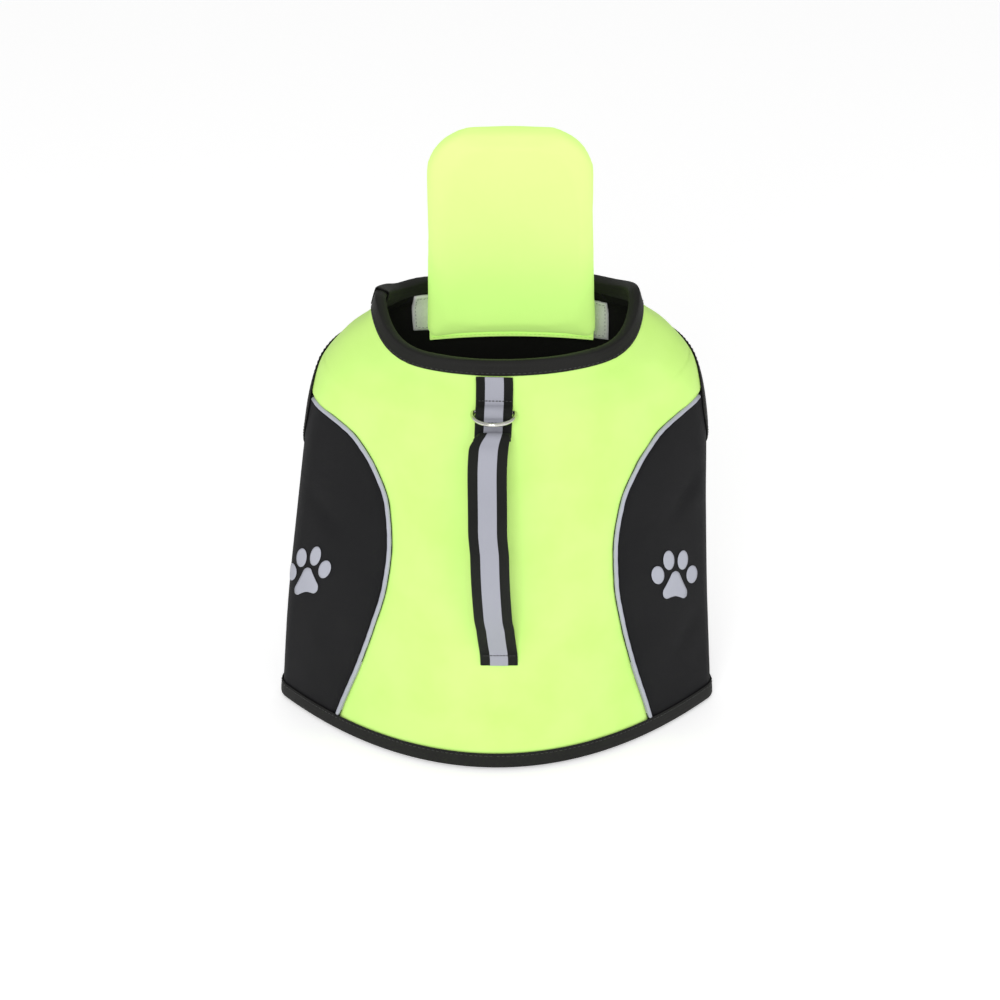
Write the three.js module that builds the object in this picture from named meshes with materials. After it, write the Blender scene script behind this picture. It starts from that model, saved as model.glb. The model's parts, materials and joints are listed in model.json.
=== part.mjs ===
// A dog's life jacket, filled out as if worn, with its neck up and its back towards -Y.
// Millimetres, +Z up. The cloth is a wall on one surface, which is given by level sections. A place on
// that surface is a distance round it from the centre of the back, positive towards +X, and a height
// above the hem. A lift is measured outwards from the middle of the wall.
import * as THREE from 'three';

// The jacket's body
const NECK_HEIGHT = 313;
const WALL = 5;
const TOUCH_GAP = 0.3;
const SEAM_GAP = 1;
const ORIGIN_HEIGHT = 150;
const SECTIONS = [
  { height: 0, halfWidth: 154.2, backDepth: 95, bellyDepth: 68, backFold: 12, bellyFold: 14,
    centreX: -2.5, scoop: 0, dip: 0, turn: 1 },
  { height: 75, halfWidth: 148, backDepth: 92, bellyDepth: 69, backFold: 16, bellyFold: 18,
    centreX: -1.5, scoop: 0, dip: 0, turn: 1.2 },
  { height: 155, halfWidth: 140.5, backDepth: 87.5, bellyDepth: 68, backFold: 21, bellyFold: 24,
    centreX: 1.5, scoop: 0, dip: 0, turn: 2 },
  { height: 230, halfWidth: 133, backDepth: 81, bellyDepth: 60, backFold: 27, bellyFold: 32,
    centreX: 4.7, scoop: 3, dip: 0, turn: 2 },
  { height: 263, halfWidth: 124.5, backDepth: 76, bellyDepth: 55, backFold: 38, bellyFold: 42,
    centreX: 5, scoop: 9, dip: 0, turn: 2.7 },
  { height: 285, halfWidth: 107.5, backDepth: 70, bellyDepth: 53.7, backFold: 46, bellyFold: 48,
    centreX: 5, scoop: 16, dip: 4, turn: 3.5 },
  { height: 301, halfWidth: 88.5, backDepth: 64, bellyDepth: 53, backFold: 52, bellyFold: 50,
    centreX: 5, scoop: 20, dip: 9, turn: 3.8 },
  { height: 313, halfWidth: 84.5, backDepth: 60.5, bellyDepth: 51.5, backFold: 54, bellyFold: 50,
    centreX: 5, scoop: 22, dip: 13, turn: 3.8 },
];

// Seams
const CENTRE_BACK = -2.5;
const PIPING_LINE = [
  { height: 0, distance: 125.5 },
  { height: 21, distance: 118 },
  { height: 59, distance: 103 },
  { height: 95, distance: 91 },
  { height: 128, distance: 82.5 },
  { height: 159, distance: 79.5 },
  { height: 188, distance: 82.3 },
  { height: 214, distance: 93.8 },
  { height: 226, distance: 103.7 },
  { height: 233, distance: 112 },
  { height: 238, distance: 124 },
  { height: 242, distance: 141 },
  { height: 245, distance: 164 },
];
const BELLY_SEAM_AT_HEM = 236;
const BELLY_SEAM_AT_NECK = 160;
const PIPING_RADIUS = 2;
const PIPING_GAP = 0.7;
const PIPING_END_GAP = 1.6;
const LEG_HOLE = { distance: 204, height: 227, halfWidth: 40, halfHeight: 43, lean: 0.35 };

// Bindings
const BINDING_THICKNESS = 1.2;
const BINDING_GAP = 0.6;
const LEG_BINDING_GAP = 0.9;
const NECK_BINDING = 10.5;
const HEM_BINDING = 10.5;
const LEG_BINDING = 8;
// Shares of the neck's girth: where the binding's ends meet, and how far one lies over the other.
const NECK_LAP_PLACE = 0.31;
const NECK_LAP = 0.035;

// Webbing on the back
const WEBBING_WIDTH = 24;
const WEBBING_THICKNESS = 1.8;
const TAPE_WIDTH = 13;
const TAPE_THICKNESS = 0.6;
const TAPE_GAP = 0.5;
const STRAP_CENTRE = -12.7;
const STRAP_TOP = 301.4;
const STRAP_TAPE_END = 288;
const STRAP_END = 252;
const RING_HEIGHT = 273;
// Half the length of the channel over the ring's bar: on the panel, halfway up its slope and on top.
const CHANNEL_FOOT = 9;
const CHANNEL_SLOPE = 5.5;
const CHANNEL_TOP = 2.4;
const CHANNEL_SLOPE_LIFT = 0.9;
const HANDLE_ROWS = [
  { height: 250.5, lift: 3.3, centre: -13.8 },
  { height: 254.6, lift: 4.6, centre: -14.1 },
  { height: 257.6, lift: 6.8, centre: -14.2 },
  { height: 258.8, lift: 9.7, centre: -14.2 },
  { height: 257.3, lift: 12.4, centre: -14.2 },
  { height: 252.8, lift: 14.4, centre: -14.4 },
  { height: 243, lift: 17.8, centre: -14.7 },
  { height: 225, lift: 21.2, centre: -14.6 },
  { height: 200, lift: 23.8, centre: -12.8 },
  { height: 175, lift: 24.2, centre: -11 },
  { height: 150, lift: 21.8, centre: -9.9 },
  { height: 128, lift: 16.8, centre: -8.5 },
  { height: 111, lift: 10.4, centre: -6.9 },
  { height: 99, lift: 4.8, centre: -5 },
  { height: 92.5, lift: 2.2, centre: -3.8 },
  { height: 87, lift: 1.5, centre: -3 },
  { height: 81.5, lift: 1.2, centre: -2.5 },
];
// The rows where the tape ends on the neck strap and starts on the handle.
const STRAP_TAPE_LAST = 2;
const HANDLE_TAPE_FIRST = 4;

// D-ring
const RING_WIRE = 1.3;
const RING_SIDE_GAP = 0.5;
const RING_REACH = 17.5;
const RING_CORNER = 1.6;
const RING_BOW_FOOT = 3;
// Degrees that the ring hangs below the panel's normal.
const RING_DROOP = 25;

// Chin float
const FLOAT = { centreX: 8, backY: 45.5, bottom: 263, height: 149.5, bottomWidth: 114, topWidth: 105 };
const FLOAT_THICKNESS = 13;
const FLOAT_SEAM = 1.2;
const FLOAT_BEND_RADIUS = 240;
const FLOAT_TOP_RADIUS = 27;
const FLOAT_BOTTOM_RADIUS = 8;
const FLOAT_EDGE_ROUND = 9;
const FLANGE_HEIGHT = 4;
const FLANGE_THICKNESS = 2;
const STRIP_THICKNESS = 1.6;
const LOOP_GAP = 0.4;
const LOOP_STRIP = { centre: -2.5, halfLength: 69, low: 264.2, high: 296.9, lean: 0.07 };
const HOOK_STRIP = { halfLength: 46, low: 266.5, high: 286 };

const COLOURS = {
  neon: { color: 0xd2f878, roughness: 0.62, metalness: 0 },
  black: { color: 0x202022, roughness: 0.8, metalness: 0 },
  binding: { color: 0x262624, roughness: 0.72, metalness: 0 },
  reflective: { color: 0xb0b3be, roughness: 0.42, metalness: 0.1 },
  loop: { color: 0xabadad, roughness: 0.95, metalness: 0 },
  nickel: { color: 0xc8c8be, roughness: 0.25, metalness: 1 },
};

// A higher power keeps the neck's scoop level further round from the centre back.
const SCOOP_POWER = 6;
// Between the side fold and the belly's middle the neck dips further, by this share of its dip.
const CORNER_DIP = 0.3;
const CORNER_DIP_SPAN = 0.38;
// Turning by a radian counts as this length when a curve is split into steps.
const TURN_EFFORT = 30;

const degrees = THREE.MathUtils.degToRad;

// Values from low to high in even steps.
function evenSteps(low, high, steps) {
  return Array.from({ length: steps + 1 }, (_, i) => low + ((high - low) * i) / steps);
}

// A smooth curve through one column of a table, straight past both of its ends.
function column(rows, name) {
  const at = rows.map((row) => row.height);
  const value = rows.map((row) => row[name]);
  const rise = value.slice(1).map((next, i) => (next - value[i]) / (at[i + 1] - at[i]));
  const slope = value.map((_, i) => {
    if (i === 0) return rise[0];
    if (i === rise.length) return rise[i - 1];
    if (rise[i - 1] * rise[i] <= 0) return 0;
    return (2 * rise[i - 1] * rise[i]) / (rise[i - 1] + rise[i]);
  });
  const last = at.length - 1;
  return (height) => {
    if (height <= at[0]) return value[0] + slope[0] * (height - at[0]);
    if (height >= at[last]) return value[last] + slope[last] * (height - at[last]);
    const i = at.findIndex((start, k) => height < at[k + 1]);
    const span = at[i + 1] - at[i];
    const t = (height - at[i]) / span;
    const ahead = t * t * (3 - 2 * t);
    const bend = t * (1 - t) * span;
    return value[i] * (1 - ahead) + value[i + 1] * ahead + bend * ((1 - t) * slope[i] - t * slope[i + 1]);
  };
}

const SIZE_NAMES = Object.keys(SECTIONS[0]).filter((name) => name !== 'height');
const sizeAt = Object.fromEntries(SIZE_NAMES.map((name) => [name, column(SECTIONS, name)]));
const pipingAt = column(PIPING_LINE, 'distance');

// A quarter of a section, from its middle to the fold at the side: a parabola, then a round.
function quarterSection(halfWidth, depth, fold) {
  const curveSteps = 24;
  const roundSteps = 12;
  const steepness = (2 * (depth - fold)) / (halfWidth - fold);
  const points = [];
  for (let i = 0; i <= curveSteps; i += 1) {
    const along = i / curveSteps;
    const length = Math.hypot(1, steepness * along);
    const x = (halfWidth - fold) * along + (fold * steepness * along) / length;
    points.push(new THREE.Vector2(x, (depth - fold) * (1 - along * along) + fold / length));
  }
  const start = Math.atan(steepness);
  for (let i = 1; i <= roundSteps; i += 1) {
    const angle = start + ((Math.PI / 2 - start) * i) / roundSteps;
    points.push(new THREE.Vector2(halfWidth - fold + fold * Math.sin(angle), fold * Math.cos(angle)));
  }
  const reach = [0];
  points.slice(1).forEach((point, i) => reach.push(reach[i] + point.distanceTo(points[i])));
  return { points, reach, length: reach.at(-1) };
}

function pointOnQuarter(quarter, distance) {
  const { points, reach } = quarter;
  let i = reach.findIndex((value) => value > distance);
  if (i < 1) i = distance <= 0 ? 1 : reach.length - 1;
  const share = (distance - reach[i - 1]) / (reach[i] - reach[i - 1]);
  return points[i - 1].clone().lerp(points[i], share);
}

const sectionCache = new Map();
function sectionAt(height) {
  if (!sectionCache.has(height)) {
    const size = Object.fromEntries(SIZE_NAMES.map((name) => [name, sizeAt[name](height)]));
    const back = quarterSection(size.halfWidth, size.backDepth, size.backFold);
    const belly = quarterSection(size.halfWidth, size.bellyDepth, size.bellyFold);
    sectionCache.set(height, { size, back, belly, halfGirth: back.length + belly.length });
  }
  return sectionCache.get(height);
}

const halfGirthAt = (height) => sectionAt(height).halfGirth;

function surfacePoint(distance, height) {
  const { size, back, belly, halfGirth } = sectionAt(height);
  const wrapped = distance - 2 * halfGirth * Math.round(distance / (2 * halfGirth));
  const round = Math.abs(wrapped);
  const share = round / back.length;
  const flat = new THREE.Vector2();
  let drop = 0;
  if (share <= 1) {
    flat.copy(pointOnQuarter(back, round));
    flat.y *= -1;
    drop = size.scoop * (1 - share ** SCOOP_POWER) ** 2;
  } else {
    flat.copy(pointOnQuarter(belly, halfGirth - round));
    const past = (round - back.length) / belly.length;
    const corner = Math.sin(Math.PI * Math.min(past / CORNER_DIP_SPAN, 1)) ** 2;
    drop = size.dip * (Math.sin((past * Math.PI) / 2) ** 2 + CORNER_DIP * corner);
  }
  flat.x *= Math.sign(wrapped) || 1;
  flat.rotateAround(new THREE.Vector2(), degrees(size.turn));
  return new THREE.Vector3(flat.x + size.centreX, flat.y, height - drop);
}

function surfaceFrame(distance, height) {
  const step = 0.5;
  const across = surfacePoint(distance + step, height).sub(surfacePoint(distance - step, height));
  const rise = surfacePoint(distance, height + step).sub(surfacePoint(distance, height - step));
  across.normalize();
  const normal = across.clone().cross(rise).normalize();
  return { across, normal, up: normal.clone().cross(across) };
}

function liftedPoint(distance, height, lift) {
  return surfacePoint(distance, height).addScaledVector(surfaceFrame(distance, height).normal, lift);
}

// Distances round the surface at one height, closer together where it turns more.
function spread(height, start, end, steps) {
  const samples = evenSteps(start, end, 180);
  const points = samples.map((distance) => surfacePoint(distance, height));
  const effort = [0];
  for (let i = 1; i < points.length; i += 1) {
    const ahead = points[Math.min(i + 1, points.length - 1)].clone().sub(points[i]);
    const behind = points[i].clone().sub(points[i - 1]);
    const turned = i < points.length - 1 ? behind.angleTo(ahead) : 0;
    effort.push(effort[i - 1] + behind.length() + TURN_EFFORT * turned);
  }
  return evenSteps(0, effort.at(-1), steps).map((goal) => {
    const i = Math.max(effort.findIndex((value) => value >= goal - 1e-9), 1);
    const share = (goal - effort[i - 1]) / (effort[i] - effort[i - 1]);
    return samples[i - 1] + (samples[i] - samples[i - 1]) * share;
  });
}

// A closed mesh from points and triangles, with its faces turned outwards.
function solidGeometry(points, triangles) {
  const volume = triangles.reduce((sum, [a, b, c]) => {
    return sum + points[a].dot(points[b].clone().cross(points[c]));
  }, 0);
  const outward = triangles.flatMap(([a, b, c]) => (volume < 0 ? [a, c, b] : [a, b, c]));
  const geometry = new THREE.BufferGeometry();
  const coordinates = points.flatMap((point) => point.toArray());
  geometry.setAttribute('position', new THREE.Float32BufferAttribute(coordinates, 3));
  geometry.setIndex(outward);
  geometry.computeVertexNormals();
  return geometry;
}

// A tube of rings, each a list of points. The last ring joins the first, or both ends are capped.
function ringGeometry(rings, closed) {
  const count = rings[0].length;
  const triangles = [];
  const spans = closed ? rings.length : rings.length - 1;
  for (let i = 0; i < spans; i += 1) {
    const here = i * count;
    const next = ((i + 1) % rings.length) * count;
    for (let j = 0; j < count; j += 1) {
      const k = (j + 1) % count;
      triangles.push([here + j, here + k, next + k], [here + j, next + k, next + j]);
    }
  }
  if (!closed) {
    const cap = THREE.ShapeUtils.triangulateShape(flatOutline(rings[0]), []);
    const end = (rings.length - 1) * count;
    cap.forEach(([a, b, c]) => triangles.push([a, c, b], [end + a, end + b, end + c]));
  }
  return solidGeometry(rings.flat(), triangles);
}

// A ring of points seen along its own axis, for the cap of a tube.
function flatOutline(ring) {
  const centre = ring.reduce((sum, p) => sum.add(p), new THREE.Vector3()).divideScalar(ring.length);
  const axis = new THREE.Vector3();
  const arms = ring.map((p) => p.clone().sub(centre));
  arms.forEach((arm, i) => axis.add(arm.clone().cross(arms[(i + 1) % arms.length])));
  const across = arms[0].clone().normalize();
  const up = axis.normalize().clone().cross(across).normalize();
  return arms.map((arm) => new THREE.Vector2(arm.dot(across), arm.dot(up)));
}

// A piece of cloth between two seams, with a row of points at each height.
function clothPatch(heights, columns, from, to) {
  const rings = heights.map((height) => {
    const steps = spread(height, from(height), to(height), columns);
    const outer = steps.map((distance) => liftedPoint(distance, height, WALL / 2));
    const inner = steps.map((distance) => liftedPoint(distance, height, -WALL / 2));
    return [...outer, ...inner.reverse()];
  });
  return slabGeometry(rings, columns);
}

// Like a tube of flat rings, with its end caps made of the strips between outer and inner points.
function slabGeometry(rings, columns) {
  const count = rings[0].length;
  const triangles = [];
  for (let i = 0; i < rings.length - 1; i += 1) {
    const here = i * count;
    const next = here + count;
    for (let j = 0; j < count; j += 1) {
      const k = (j + 1) % count;
      triangles.push([here + j, here + k, next + k], [here + j, next + k, next + j]);
    }
  }
  const end = (rings.length - 1) * count;
  for (let j = 0; j < columns; j += 1) {
    const back = count - 1 - j;
    triangles.push([j, back, back - 1], [j, back - 1, j + 1]);
    triangles.push([end + j, end + back - 1, end + back], [end + j, end + j + 1, end + back - 1]);
  }
  return solidGeometry(rings.flat(), triangles);
}

// Binding folded over an edge. place(t, depth) gives a point's distance and height, depth from the edge.
function foldedBinding({ steps, closed, width, gap = BINDING_GAP, folds = 1, place, raise = () => 0 }) {
  const inside = WALL / 2 + gap;
  const outside = inside + BINDING_THICKNESS;
  const round = gap + BINDING_THICKNESS;
  const depths = evenSteps(0, width, folds);
  const outerHalf = [
    ...depths.slice(1).map((depth) => ({ depth, lift: inside })),
    ...depths.slice(1).reverse().map((depth) => ({ depth, lift: outside })),
    { depth: -gap, lift: outside },
    { depth: -round, lift: WALL / 2 },
  ];
  const innerHalf = [...outerHalf].reverse().map(({ depth, lift }) => ({ depth, lift: -lift }));
  const lining = [-1, 1].map((face) => ({ depth: -gap, lift: face * inside }));
  const profile = [...outerHalf, ...innerHalf, ...lining];
  const count = closed ? steps : steps + 1;
  const rings = Array.from({ length: count }, (_, i) => {
    const t = i / steps;
    return profile.map(({ depth, lift }) => {
      const { distance, height } = place(t, depth + (depth > 0 ? 0 : -raise(t)));
      return liftedPoint(distance, height, lift + Math.sign(lift) * raise(t));
    });
  });
  return ringGeometry(rings, closed);
}

// Flat webbing through rows of height, lift and centre. Its width stays level with the surface. What is
// sewn on its face follows the rows from first to last, further out.
function webbing(rows, { width, thickness, out = 0, first = 0, last = rows.length - 1 }) {
  const middle = rows.map(({ centre, height, lift }) => liftedPoint(centre, height, lift + WALL / 2));
  const rings = rows.map(({ centre, height }, i) => {
    const before = middle[Math.max(i - 1, 0)];
    const after = middle[Math.min(i + 1, rows.length - 1)];
    const across = surfaceFrame(centre, height).across;
    const face = after.clone().sub(before).cross(across).normalize();
    return [[-1, -1], [1, -1], [1, 1], [-1, 1]].map(([side, top]) => {
      const edge = middle[i].clone().addScaledVector(across, (side * width) / 2);
      return edge.addScaledVector(face, out + (top * thickness) / 2);
    });
  });
  return ringGeometry(rings.slice(first, last + 1), false);
}

// Heights that follow the leg hole's outline, from one angle to another.
function holeHeights(startAngle, endAngle, steps) {
  return evenSteps(startAngle, endAngle, steps).map((angle) => {
    return LEG_HOLE.height + LEG_HOLE.halfHeight * Math.sin(degrees(angle));
  });
}

// Half the leg hole's width at a height, or nothing above and below it.
function holeHalfWidth(height) {
  const share = (height - LEG_HOLE.height) / LEG_HOLE.halfHeight;
  return LEG_HOLE.halfWidth * Math.sqrt(Math.max(1 - share * share, 0));
}

// How far a seam's edge stands from the piping's line, measured round the body.
function pipingClearance(height) {
  const slope = pipingAt(height + 0.5) - pipingAt(height - 0.5);
  return (PIPING_RADIUS + PIPING_GAP) * Math.hypot(1, slope);
}

// The rows of points that the panels share. The side panel ends in a horn, which the back panel's edge
// follows up to the join, where it meets the leg hole.
const holeBottom = LEG_HOLE.height - LEG_HOLE.halfHeight;
const holeTop = LEG_HOLE.height + LEG_HOLE.halfHeight;
const joinHeight = 247;
const halfSeam = SEAM_GAP / 2;
const heightsUnderHole = [0, HEM_BINDING, ...evenSteps(32, holeBottom, 6).slice(0, -1)];
const heightsToHorn = holeHeights(-90, 8, 8);
const heightsOfHorn = [236, 238.5, 240.5, 242.2];
const heightsOfJoin = [243.2, 244.2, 245.2, 246.4];
const heightsToHoleTop = holeHeights(31, 90, 6);
const heightsBesideHole = [...heightsUnderHole, ...heightsToHorn, ...heightsOfHorn];
const bindingFoot = NECK_HEIGHT - NECK_BINDING;
const heightsOverHole = [278, 286, 294, bindingFoot, (bindingFoot + NECK_HEIGHT) / 2, NECK_HEIGHT];

// The middle of the leg hole, and above and below it the seam that runs on to the neck and the hem.
function bellySeamAt(height) {
  const middleAt = (level) => LEG_HOLE.distance - LEG_HOLE.lean * (level - LEG_HOLE.height);
  if (height < holeBottom) {
    return THREE.MathUtils.lerp(BELLY_SEAM_AT_HEM, middleAt(holeBottom), height / holeBottom);
  }
  if (height > holeTop) {
    const share = (height - holeTop) / (NECK_HEIGHT - holeTop);
    return THREE.MathUtils.lerp(middleAt(holeTop), BELLY_SEAM_AT_NECK, share);
  }
  return middleAt(height);
}

function backEdge(height) {
  if (height >= holeTop) return bellySeamAt(height) - halfSeam;
  const alongPiping = pipingAt(height) - pipingClearance(height);
  if (height < holeBottom) return alongPiping;
  const alongHole = bellySeamAt(height) - halfSeam - holeHalfWidth(height);
  return height >= joinHeight ? alongHole : Math.min(alongPiping, alongHole);
}

const sideNearEdge = (height) => pipingAt(height) + pipingClearance(height);
const sideFarEdge = (height) => bellySeamAt(height) - halfSeam - holeHalfWidth(height);
const bellyEdge = (height) => bellySeamAt(height) + halfSeam + holeHalfWidth(height);

function backPanel() {
  const heights = [...heightsBesideHole, ...heightsOfJoin, ...heightsToHoleTop, ...heightsOverHole];
  const from = (height) => CENTRE_BACK - backEdge(height);
  const to = (height) => CENTRE_BACK + backEdge(height);
  return clothPatch(heights, 26, from, to);
}

function sidePanel(side) {
  const from = (height) => CENTRE_BACK + side * sideNearEdge(height);
  const to = (height) => CENTRE_BACK + side * sideFarEdge(height);
  return clothPatch(heightsBesideHole, 16, from, to);
}

function bellyPanel() {
  const heights = [...heightsUnderHole, ...holeHeights(-90, 90, 14), ...heightsOverHole];
  const from = (height) => CENTRE_BACK + bellyEdge(height);
  const to = (height) => CENTRE_BACK + 2 * halfGirthAt(height) - bellyEdge(height);
  return clothPatch(heights, 18, from, to);
}

// The neck binding starts and ends at the left corner, where its end lies over its start.
function neckBinding() {
  const steps = 64;
  const girth = 2 * halfGirthAt(NECK_HEIGHT);
  const start = -NECK_LAP_PLACE * girth;
  const places = spread(NECK_HEIGHT, start, start + girth * (1 + NECK_LAP), steps);
  const shares = places.map((distance) => distance / girth);
  const place = (t, depth) => {
    const height = NECK_HEIGHT - depth;
    return { height, distance: 2 * halfGirthAt(height) * shares[Math.round(t * steps)] };
  };
  const overStart = BINDING_THICKNESS + TOUCH_GAP;
  const raise = (t) => overStart * THREE.MathUtils.smoothstep(t, 1 - 1.8 * NECK_LAP, 1 - NECK_LAP);
  return foldedBinding({ steps, closed: false, width: NECK_BINDING, place, raise });
}

function hemBinding() {
  const steps = 72;
  const girth = 2 * halfGirthAt(0);
  const shares = spread(0, 0, girth, steps).map((distance) => distance / girth);
  const place = (t, depth) => {
    return { height: depth, distance: 2 * halfGirthAt(depth) * shares[Math.round(t * steps)] };
  };
  return foldedBinding({ steps, closed: true, width: HEM_BINDING, place });
}

function legBinding(side) {
  const place = (t, depth) => {
    const angle = 2 * Math.PI * t;
    const rise = (LEG_HOLE.halfHeight + depth) * Math.sin(angle);
    const away = (LEG_HOLE.halfWidth + depth) * Math.cos(angle) - LEG_HOLE.lean * rise;
    return { distance: CENTRE_BACK + side * (LEG_HOLE.distance + away), height: LEG_HOLE.height + rise };
  };
  const edge = { steps: 40, closed: true, width: LEG_BINDING, gap: LEG_BINDING_GAP, folds: 2 };
  return foldedBinding({ ...edge, place });
}

// Round cord sewn into the seam, from the hem binding to the leg hole's binding.
function piping(side) {
  const sides = 6;
  const heights = [HEM_BINDING + PIPING_END_GAP, ...heightsBesideHole.slice(2)];
  const distanceAt = (height) => CENTRE_BACK + side * pipingAt(height);
  const centres = heights.map((height) => liftedPoint(distanceAt(height), height, WALL / 2));
  const rings = centres.map((centre, i) => {
    const before = centres[Math.max(i - 1, 0)];
    const after = centres[Math.min(i + 1, centres.length - 1)];
    const out = surfaceFrame(distanceAt(heights[i]), heights[i]).normal;
    const across = after.clone().sub(before).cross(out).normalize();
    return Array.from({ length: sides }, (_, k) => {
      const angle = (2 * Math.PI * k) / sides;
      const point = centre.clone().addScaledVector(across, PIPING_RADIUS * Math.cos(angle));
      return point.addScaledVector(out, PIPING_RADIUS * Math.sin(angle));
    });
  });
  return ringGeometry(rings, false);
}

// Webbing rows lie with their middle this far out of the panel's face.
const restLift = TOUCH_GAP + WEBBING_THICKNESS / 2;
const ringLift = 2 * TOUCH_GAP + RING_WIRE;
const tapeLift = WEBBING_THICKNESS / 2 + TAPE_GAP + TAPE_THICKNESS / 2;

// The neck strap rises over the D-ring's bar in a short channel.
function strapRows() {
  const crown = ringLift + RING_WIRE + RING_SIDE_GAP + WEBBING_THICKNESS / 2;
  const slope = restLift + CHANNEL_SLOPE_LIFT;
  const profile = [
    { height: STRAP_TOP, lift: restLift },
    { height: STRAP_TAPE_END, lift: restLift },
    { height: RING_HEIGHT + CHANNEL_FOOT, lift: restLift },
    { height: RING_HEIGHT + CHANNEL_SLOPE, lift: slope },
    { height: RING_HEIGHT + CHANNEL_TOP, lift: crown },
    { height: RING_HEIGHT - CHANNEL_TOP, lift: crown },
    { height: RING_HEIGHT - CHANNEL_SLOPE, lift: slope },
    { height: RING_HEIGHT - CHANNEL_FOOT, lift: restLift },
    { height: STRAP_END, lift: restLift },
  ];
  return profile.map((row) => ({ ...row, centre: STRAP_CENTRE }));
}

function dRing() {
  const { across, normal, up } = surfaceFrame(STRAP_CENTRE, RING_HEIGHT);
  const centre = liftedPoint(STRAP_CENTRE, RING_HEIGHT, WALL / 2 + ringLift);
  const droop = degrees(RING_DROOP);
  const reach = normal.clone().multiplyScalar(Math.cos(droop)).addScaledVector(up, -Math.sin(droop));
  const armX = WEBBING_WIDTH / 2 + RING_SIDE_GAP + RING_WIRE;
  const bow = evenSteps(0, Math.PI, 16).map((angle) => {
    const y = RING_BOW_FOOT + (RING_REACH - RING_BOW_FOOT) * Math.sin(angle);
    return new THREE.Vector2(armX * Math.cos(angle), y);
  });
  const cut = 0.45 * RING_CORNER;
  const bar = [
    [-armX, RING_CORNER],
    [cut - armX, cut],
    [1.25 * RING_CORNER - armX, 0],
    [0, 0],
    [armX - 1.25 * RING_CORNER, 0],
    [armX - cut, cut],
    [armX, RING_CORNER],
  ];
  const path = [...bow, ...bar.map(([x, y]) => new THREE.Vector2(x, y))];
  const sides = 8;
  const side = across.clone().cross(reach).normalize();
  const rings = path.map((point, i) => {
    const before = path[(i + path.length - 1) % path.length];
    const after = path[(i + 1) % path.length];
    const along = after.clone().sub(before).normalize();
    const outX = along.y;
    const outY = -along.x;
    return Array.from({ length: sides }, (_, k) => {
      const angle = (2 * Math.PI * (k + 0.5)) / sides;
      const flatX = point.x + outX * RING_WIRE * Math.cos(angle);
      const flatY = point.y + outY * RING_WIRE * Math.cos(angle);
      const place = centre.clone().addScaledVector(across, flatX).addScaledVector(reach, flatY);
      return place.addScaledVector(side, RING_WIRE * Math.sin(angle));
    });
  });
  return ringGeometry(rings, true);
}

// The float bends round the wearer's throat. Out is measured from its back sheet, towards the back panel.
function floatPoint(x, z, out) {
  const bend = FLOAT_BEND_RADIUS - Math.sqrt(FLOAT_BEND_RADIUS ** 2 - x ** 2);
  return new THREE.Vector3(FLOAT.centreX + x, FLOAT.backY - out - bend, z);
}

// Half the pad's width at a height over its lower edge, with round corners.
function floatHalfWidth(rise) {
  const height = FLOAT.height - FLANGE_HEIGHT;
  const half = THREE.MathUtils.lerp(FLOAT.bottomWidth, FLOAT.topWidth, rise / height) / 2;
  const top = Math.max(rise - (height - FLOAT_TOP_RADIUS), 0);
  const low = Math.max(FLOAT_BOTTOM_RADIUS - rise, 0);
  const cutTop = FLOAT_TOP_RADIUS - Math.sqrt(FLOAT_TOP_RADIUS ** 2 - top ** 2);
  return half - cutTop - FLOAT_BOTTOM_RADIUS + Math.sqrt(FLOAT_BOTTOM_RADIUS ** 2 - low ** 2);
}

// A pad with a flat back, full in front, which rounds off to its seam all round.
function floatPad() {
  const height = FLOAT.height - FLANGE_HEIGHT;
  const topRound = height - FLOAT_TOP_RADIUS;
  const insets = [0, 0.06, 0.2, 0.45, 0.75, 1].map((share) => share * FLOAT_EDGE_ROUND);
  const middleRises = evenSteps(FLOAT_EDGE_ROUND, topRound, 5).slice(1);
  const topRises = evenSteps(0, 90, 7).slice(1).map((angle) => {
    return topRound + (FLOAT_TOP_RADIUS - TOUCH_GAP) * Math.sin(degrees(angle));
  });
  const rings = [...insets, ...middleRises, ...topRises].map((rise) => {
    const half = floatHalfWidth(rise);
    const leftPart = insets.map((inset) => inset - half);
    const steps = [...leftPart, 0, ...leftPart.map((x) => -x).reverse()];
    const front = steps.map((x) => {
      const inset = Math.min(half - Math.abs(x), rise, height - rise);
      const share = Math.min(inset / FLOAT_EDGE_ROUND, 1);
      return FLOAT_SEAM + (FLOAT_THICKNESS - FLOAT_SEAM) * Math.sqrt(1 - (1 - share) ** 2);
    });
    const z = FLOAT.bottom + FLANGE_HEIGHT + rise;
    const frontPoints = steps.map((x, i) => floatPoint(x, z, front[i]));
    return [...frontPoints, ...steps.map((x) => floatPoint(x, z, 0)).reverse()];
  });
  return slabGeometry(rings, rings[0].length / 2 - 1);
}

// A strip between two levels that follows the float's back sheet.
function stripOnFloat(halfLength, low, high, near, far) {
  const rings = evenSteps(-halfLength, halfLength, 12).map((x) => {
    return [[low, far], [high, far], [high, near], [low, near]].map(([z, out]) => floatPoint(x, z, out));
  });
  return ringGeometry(rings, false);
}

// The sewn edge under the pad.
function floatFlange() {
  const high = FLOAT.bottom + FLANGE_HEIGHT - TOUCH_GAP;
  return stripOnFloat(FLOAT.bottomWidth / 2 - 1, FLOAT.bottom, high, 0, FLANGE_THICKNESS);
}

// The hook strip is sewn to the back of the float, low down.
function hookStrip() {
  const { halfLength, low, high } = HOOK_STRIP;
  return stripOnFloat(halfLength, low, high, -TOUCH_GAP - STRIP_THICKNESS, -TOUCH_GAP);
}

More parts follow.
